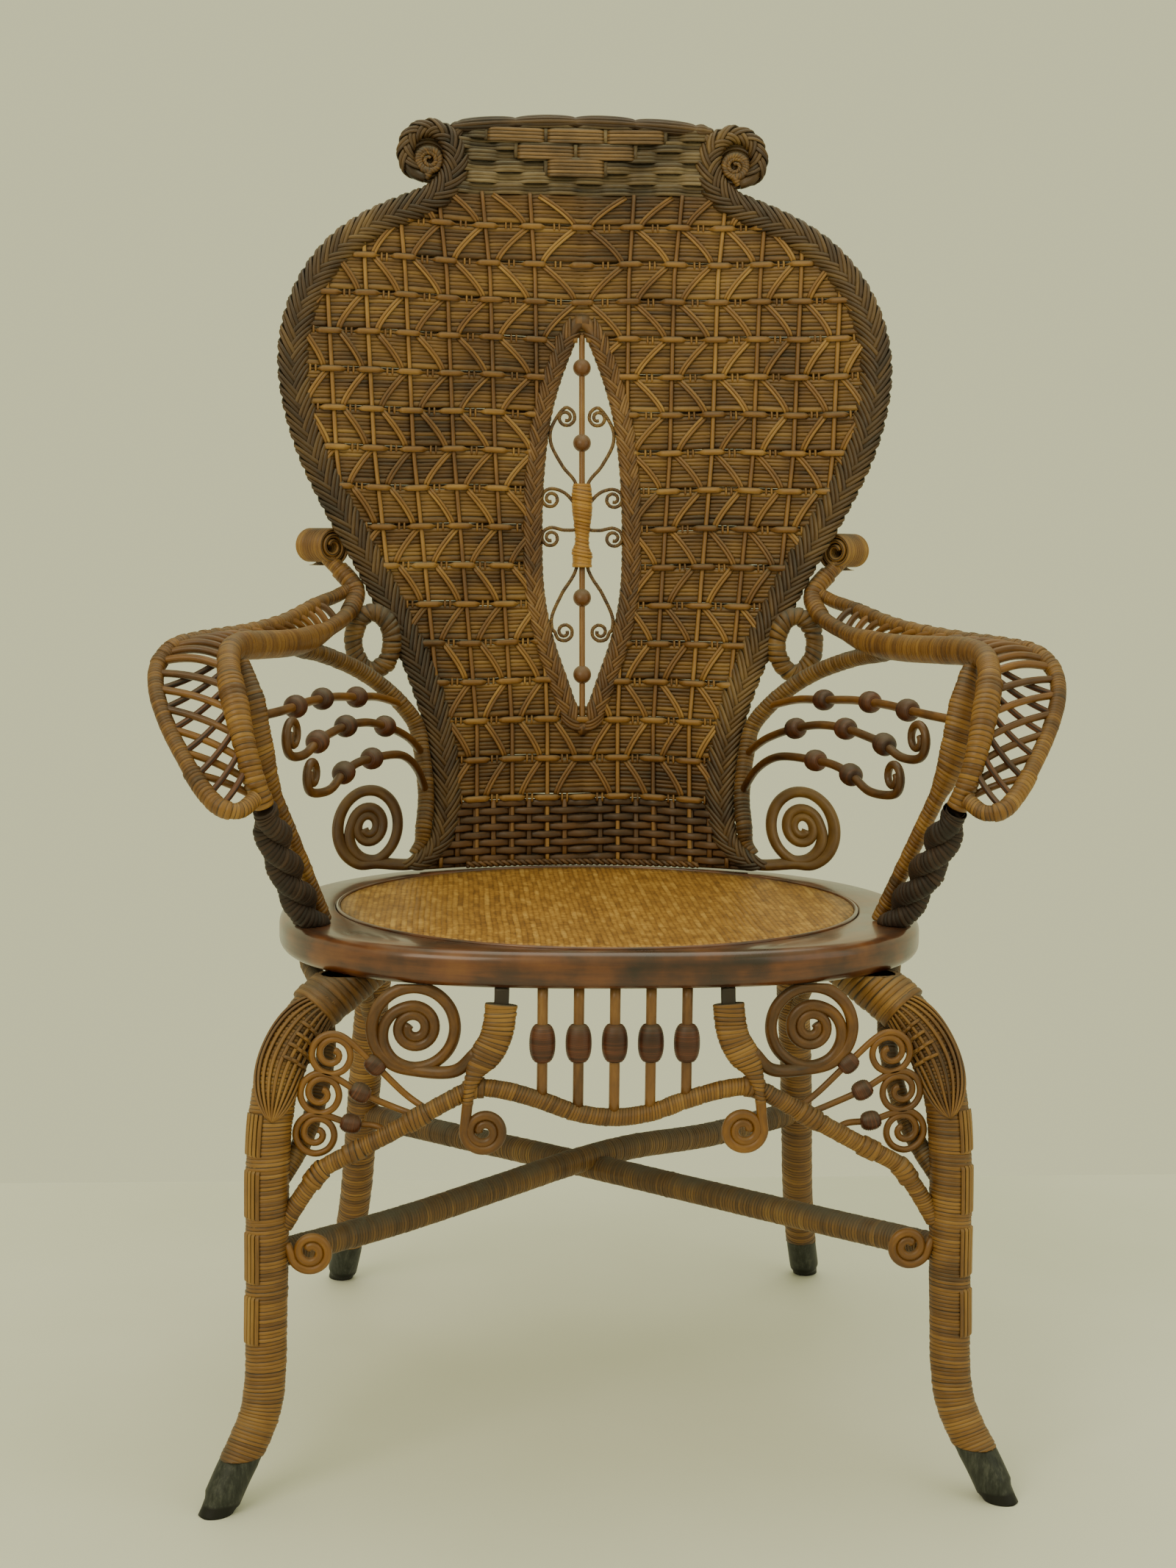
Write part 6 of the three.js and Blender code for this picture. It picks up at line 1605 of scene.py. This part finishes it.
def wing_ribs(seed):
    close = [rib(*ends, 5, seed * 1000 + k) for k, ends in enumerate(zip(rib_starts, rib_ends))]
    return close + [rib(0.555 + 0.042 * k, 0.725 + 0.052 * k, 3, seed * 1000 + 30 + k, 2.9) for k in range(6)]


def wing_lattice(seed):
    return [rib(0.6 + 0.043 * k, 0.63 + 0.042 * k, -3, seed * 1000 + 50 + k, 2.5) for k in range(7)]


build_pair("arm_wing_{}_rail", (33, 34), wing_rail, honey_wrap, "wrap", "arm_wing_{}")
build_pair("arm_wing_{}_ribs", (33, 34), wing_ribs, scroll_cane, "cane")
build_pair("arm_wing_{}_lattice", (33, 34), wing_lattice, bead_wound, "dark")

# Twisted posts: two strands wound with dark cord and wrung round each other like a rope, from the seat
# ring up to the end of the arm rail.
twist_post_radius = 14.5
post_inset = 17
twist_foot_reach = 91
wrung_turns = 1.9
wrung_radius = 8.6
twist_foot = np.array((seat_half_width_at(-twist_foot_reach, post_inset), -twist_foot_reach, seat_top - fit))
twist_points = []
for share in (-0.02, 0.12, 0.25, 0.37, 0.5, 0.62, 0.75, 0.87, 0.98):
    bow = twist_post_radius * 0.2 * math.sin(share * TURN / 2)
    twist_points.append(mix(twist_foot, arm_rail_line.places[-1], share) + (bow, 0, 0))
twist_line = Line(twist_points)
# Cord: nearly black with brown where it is rubbed, rough and matt, with painted shade black in the grooves
# between the wraps.
dark_cord = cane_finish(
    "dark_wound_cord", ("#140a06", "#27160e", "#3b2619", "#574030"), "#070403", "#4d463a", 0.05, (0.55, 0.75),
    patch=0.8,
)


def wrung_strand(phase):
    """One of two strands wrung round each other along the post."""
    stations = np.linspace(0, twist_line.length, 60)
    places = twist_line.at(stations)[0]
    along, wide, front = cross_directions(places, forwards)
    angles = phase + wrung_turns * TURN * stations / twist_line.length
    offsets = (twist_post_radius - wrung_radius) * np.clip((twist_line.length - stations) / 24, 0.2, 1)
    run = places + (wide.T * np.cos(angles) + front.T * np.sin(angles)).T * offsets[:, None]
    return Line(run, wrung_radius, 3)


def twisted_post(seed):
    strands = [wrung_strand(TURN / 2 * k) for k in range(2)]
    own = {"sides": 18, "groove": 0.8, "loose": 0.25}
    return [winding(strand, 3.3, seed + 50 * k, **own) for k, strand in enumerate(strands)]


node = "arm_twist_post_{}"
build_pair("arm_twist_post_{}_cord", (35, 36), twisted_post, dark_cord, "dark", node, low=seat_top + fit)

# Inner posts: light wound posts just behind, from the seat up to the arm rail. They flatten and widen
# towards the rail that they are nailed to.
inner_post_radius = 6.6
inner_post_half_width = 12.5
inner_post_half_depth = 7.5
inner_post_inset = 31
inner_foot_reach = 71
inner_shares = [(0.575, 0.206, 0.47), (0.615, 0.18, 0.62), (0.63, 0.185, 0.8), (0.645, 0.215, 0.94)]
inner_foot = (seat_half_width_at(-inner_foot_reach, inner_post_inset), -inner_foot_reach, seat_top - fit)
inner_points = [arm_place(*row) for row in inner_shares]
inner_points = [inner_foot, mix(np.array(inner_foot), inner_points[0], 0.5), *inner_points]
inner_sizes = [(inner_post_radius, inner_post_radius)] * 3
inner_sizes += [(inner_post_half_width, inner_post_half_depth)] * 2
inner_sizes += [(inner_post_half_width * 0.5, inner_post_half_depth * 0.8)]
inner_line = Line(inner_points, inner_sizes)


def inner_post(seed):
    return [winding(inner_line, 3.4, seed, groove=0.55, loose=0.2)]


node = "arm_inner_post_{}"
build_pair("arm_inner_post_{}_winding", (37, 38), inner_post, smooth_wrap, "wrap", node, low=seat_top + fit)

# Stays: wound poles that follow the edge of the braid, tied to it, and curve forward under the arm rail
# to carry it.
stay_radius = 7.6
# A row is the height, the way out from the braid and the way forward, the last two in radii of the stay.
stay_foot_shares = [
    (0.07, 0.1, -0.9), (0.115, 0.6, -0.3), (0.182, 0.95, 0.5), (0.286, 0.97, 0.6),
    (0.386, 0.98, 0.8), (0.495, 1, 1), (0.605, 1.05, 1.2),
]
stay_shares = [
    (0.076, 0.949, 0.7), (0.14, 0.922, 0.775), (0.221, 0.884, 0.84), (0.303, 0.834, 0.885),
    (0.385, 0.772, 0.92), (0.449, 0.697, 0.94), (0.475, 0.61, 0.965),
]
stay_points = [
    braid_outer(height, stay_radius * outward - 2, -stay_radius * forward)
    for height, outward, forward in stay_foot_shares
]
stay_points += [arm_place(*row) for row in stay_shares]
stay_sizes = [stay_radius * 0.7, stay_radius * 0.85] + [stay_radius] * (len(stay_points) - 2)
stay_line = Line(stay_points, stay_sizes)


def stay(seed):
    return [winding(stay_line, 3.6, seed, sideways, groove=0.35, loose=0.15)]


build_pair("arm_stay_{}_winding", (39, 40), stay, shaded_dusty_wrap, "wrap", "arm_stay_{}")

# Rings: oval hoops of bent reed wound with broad strips, wedged between the stem of the arm rail, the
# stay and the braid.
ring_half_width = 17.5
ring_half_height = 26
ring_radius = 8.6
ring_centre = braid_outer(0.95, ring_half_width + ring_radius * 0.07, -ring_radius * 0.9)
angles = np.linspace(0, TURN, 41) - TURN / 2
ring_points = np.outer(ring_half_width * np.cos(angles), sideways)
ring_points = ring_centre + ring_points + np.outer(ring_half_height * np.sin(angles), upwards)
ring_line = Line(ring_points, ring_radius)


def ring(seed):
    return [winding(ring_line, 5.2, seed, groove=1, loose=0.5)]


build_pair("arm_ring_{}_winding", (41, 42), ring, shaded_dusty_wrap, "wrap", "arm_ring_{}")

# Arm canes: three round canes from each stay to the posts, strung with dark wound beads. The lower two
# end in a coil.
arm_cane_radius = 3.7
arm_bead_radius = 9.4
arm_curl_eye = 4.6
arm_curl_turns = 1.35
web_across = unit(np.array((0.3, -0.954, 0)))
web_facing = np.array((-web_across[1], web_across[0], 0))
# A row is the height of the root on the stay, the places on the way, the marks of the beads, and the
# middle and the radius of the coil.
cane_shares = [
    (0.695, [
        (0.162, 0.853, 0.735), (0.25, 0.737, 0.75), (0.326, 0.625, 0.765), (0.378, 0.527, 0.77),
        (0.429, 0.433, 0.77), (0.47, 0.345, 0.765), (0.522, 0.257, 0.76), (0.582, 0.186, 0.755),
    ], (2, 4, 6), None, 0),
    (0.49, [
        (0.073, 0.875, 0.57), (0.153, 0.741, 0.635), (0.226, 0.636, 0.665), (0.302, 0.543, 0.665),
        (0.366, 0.449, 0.65), (0.407, 0.366, 0.635), (0.456, 0.301, 0.6),
    ], (2, 4, 6), (0.485, 0.243, 0.675), 16),
    (0.33, [
        (0.054, 0.888, 0.44), (0.105, 0.77, 0.515), (0.223, 0.613, 0.53), (0.28, 0.543, 0.525),
        (0.333, 0.482, 0.5), (0.383, 0.394, 0.455),
    ], (3, 5), (0.436, 0.302, 0.525), 14),
]
for i, (root, row, marked, curl, radius) in enumerate(cane_shares):
    root_place = stay_line.at(stay_line.to_height(seat_top + arm_height * root))[0]
    points = [root_place, *[arm_place(*place) for place in row]]
    sizes = [arm_cane_radius] * len(points)
    if curl:
        rows = [(0, radius), (arm_curl_turns, arm_curl_eye)]
        turns = spiral(arm_place(*curl), rows, -TURN / 4, 1, 9, web_across)
        points += list(turns)
        sizes += list(np.linspace(arm_cane_radius, arm_cane_radius * 0.75, len(turns)))
    line = Line(points, sizes)

    def arm_cane(seed):
        return [plain_cane(points, sizes, seed * 1000 + i, 3, 14, web_facing)]

    def arm_beads(seed):
        shape = (arm_bead_radius, arm_bead_radius, 1.5)
        number = seed * 10 + i * 3
        return [wound_bead(line, mark, *shape, number + k, 0.2, 20) for k, mark in enumerate(marked)]

    name = f"arm_cane_{i + 1}" + "_{}"
    build_pair(name + "_cane", (43, 43), arm_cane, scroll_cane, "cane", name)
    build_pair(name + "_beads", (44, 45), arm_beads, bead_wound, "bead")

# Floor: painted boards under the chair, seen as one pale even ground. They reach only a little way behind
# it, as the wall behind stays plain.
floor_mesh = bpy.data.meshes.new("floor")
slab = bmesh.new()
bmesh.ops.create_grid(slab, x_segments=1, y_segments=1, size=3)
bmesh.ops.translate(slab, verts=slab.verts, vec=(0, -2.45, 0))
slab.to_mesh(floor_mesh)
slab.free()
floor = bpy.data.objects.new("floor", floor_mesh)
bpy.context.collection.objects.link(floor)


def painted_floor():
    """Painted boards: cream, even, matt."""
    material, tree, surface = new_material("cream_floor_paint")
    place = add_node(tree, "TexCoord").outputs["Object"]
    cloud = add_node(tree, "TexNoise", {"Vector": place, "Scale": 3, "Detail": 4})
    colour = add_node(tree, "ValToRGB", {"Fac": cloud}, [(0.3, "#e6e9d9"), (0.7, "#eef0e3")])
    fill(tree, surface, {"Base Color": colour, "Roughness": 0.6})
    return material


floor_mesh.materials.append(painted_floor())

# Light: a pale greenish room lit from all around, with a soft warm key from the left front, a weak fill
# from the right and a lamp above.
world = bpy.data.worlds.new("studio")
bpy.context.scene.world = world
world.use_nodes = True
fill(world.node_tree, world.node_tree.nodes["Background"], {"Color": linear("#d1d1a5"), "Strength": 1.17})


def soft_light(name, place, target, size, watts, colour):
    lamp = bpy.data.lights.new(name, "AREA")
    lamp.shape = "SQUARE"
    lamp.size = size
    lamp.energy = watts
    lamp.color = linear(colour)[:3]
    holder = bpy.data.objects.new(name, lamp)
    holder.location = place
    holder.rotation_euler = (Vector(target) - Vector(place)).to_track_quat("-Z", "Y").to_euler()
    bpy.context.collection.objects.link(holder)


soft_light("key_light", (-1.6, -2.2, 2.4), (0, 0, 0.5), 1.6, 30, "#fff4dc")
soft_light("fill_light", (2.2, -1.6, 1.5), (0, 0, 0.5), 2.0, 8, "#f6f6f0")
soft_light("top_light", (0.2, 0.4, 2.8), (0, 0, 0.4), 1.8, 16, "#fffaf0")

# Camera: stands a little to the left, under two metres in front, and looks slightly down, as the
# photograph was taken.
camera_place = Vector((-120.3, -1783.8 + shift_back, 712.5)) * METRES
camera_yaw, camera_pitch, camera_roll = [math.radians(angle) for angle in (3.5565, 6.2512, 0.607)]
ahead = Vector((math.sin(camera_yaw), math.cos(camera_yaw), 0))
look = ahead * math.cos(camera_pitch) - Vector((0, 0, math.sin(camera_pitch)))
level_right = Vector((ahead.y, -ahead.x, 0))
level_up = level_right.cross(look)
right = level_right * math.cos(camera_roll) + level_up * math.sin(camera_roll)
up = level_up * math.cos(camera_roll) - level_right * math.sin(camera_roll)
camera_data = bpy.data.cameras.new("camera")
camera_data.lens = 49.79
camera_data.sensor_width = 36
camera = bpy.data.objects.new("camera", camera_data)
camera.matrix_world = Matrix.Translation(camera_place) @ Matrix((right, up, -look)).transposed().to_4x4()
bpy.context.collection.objects.link(camera)
bpy.context.scene.camera = camera
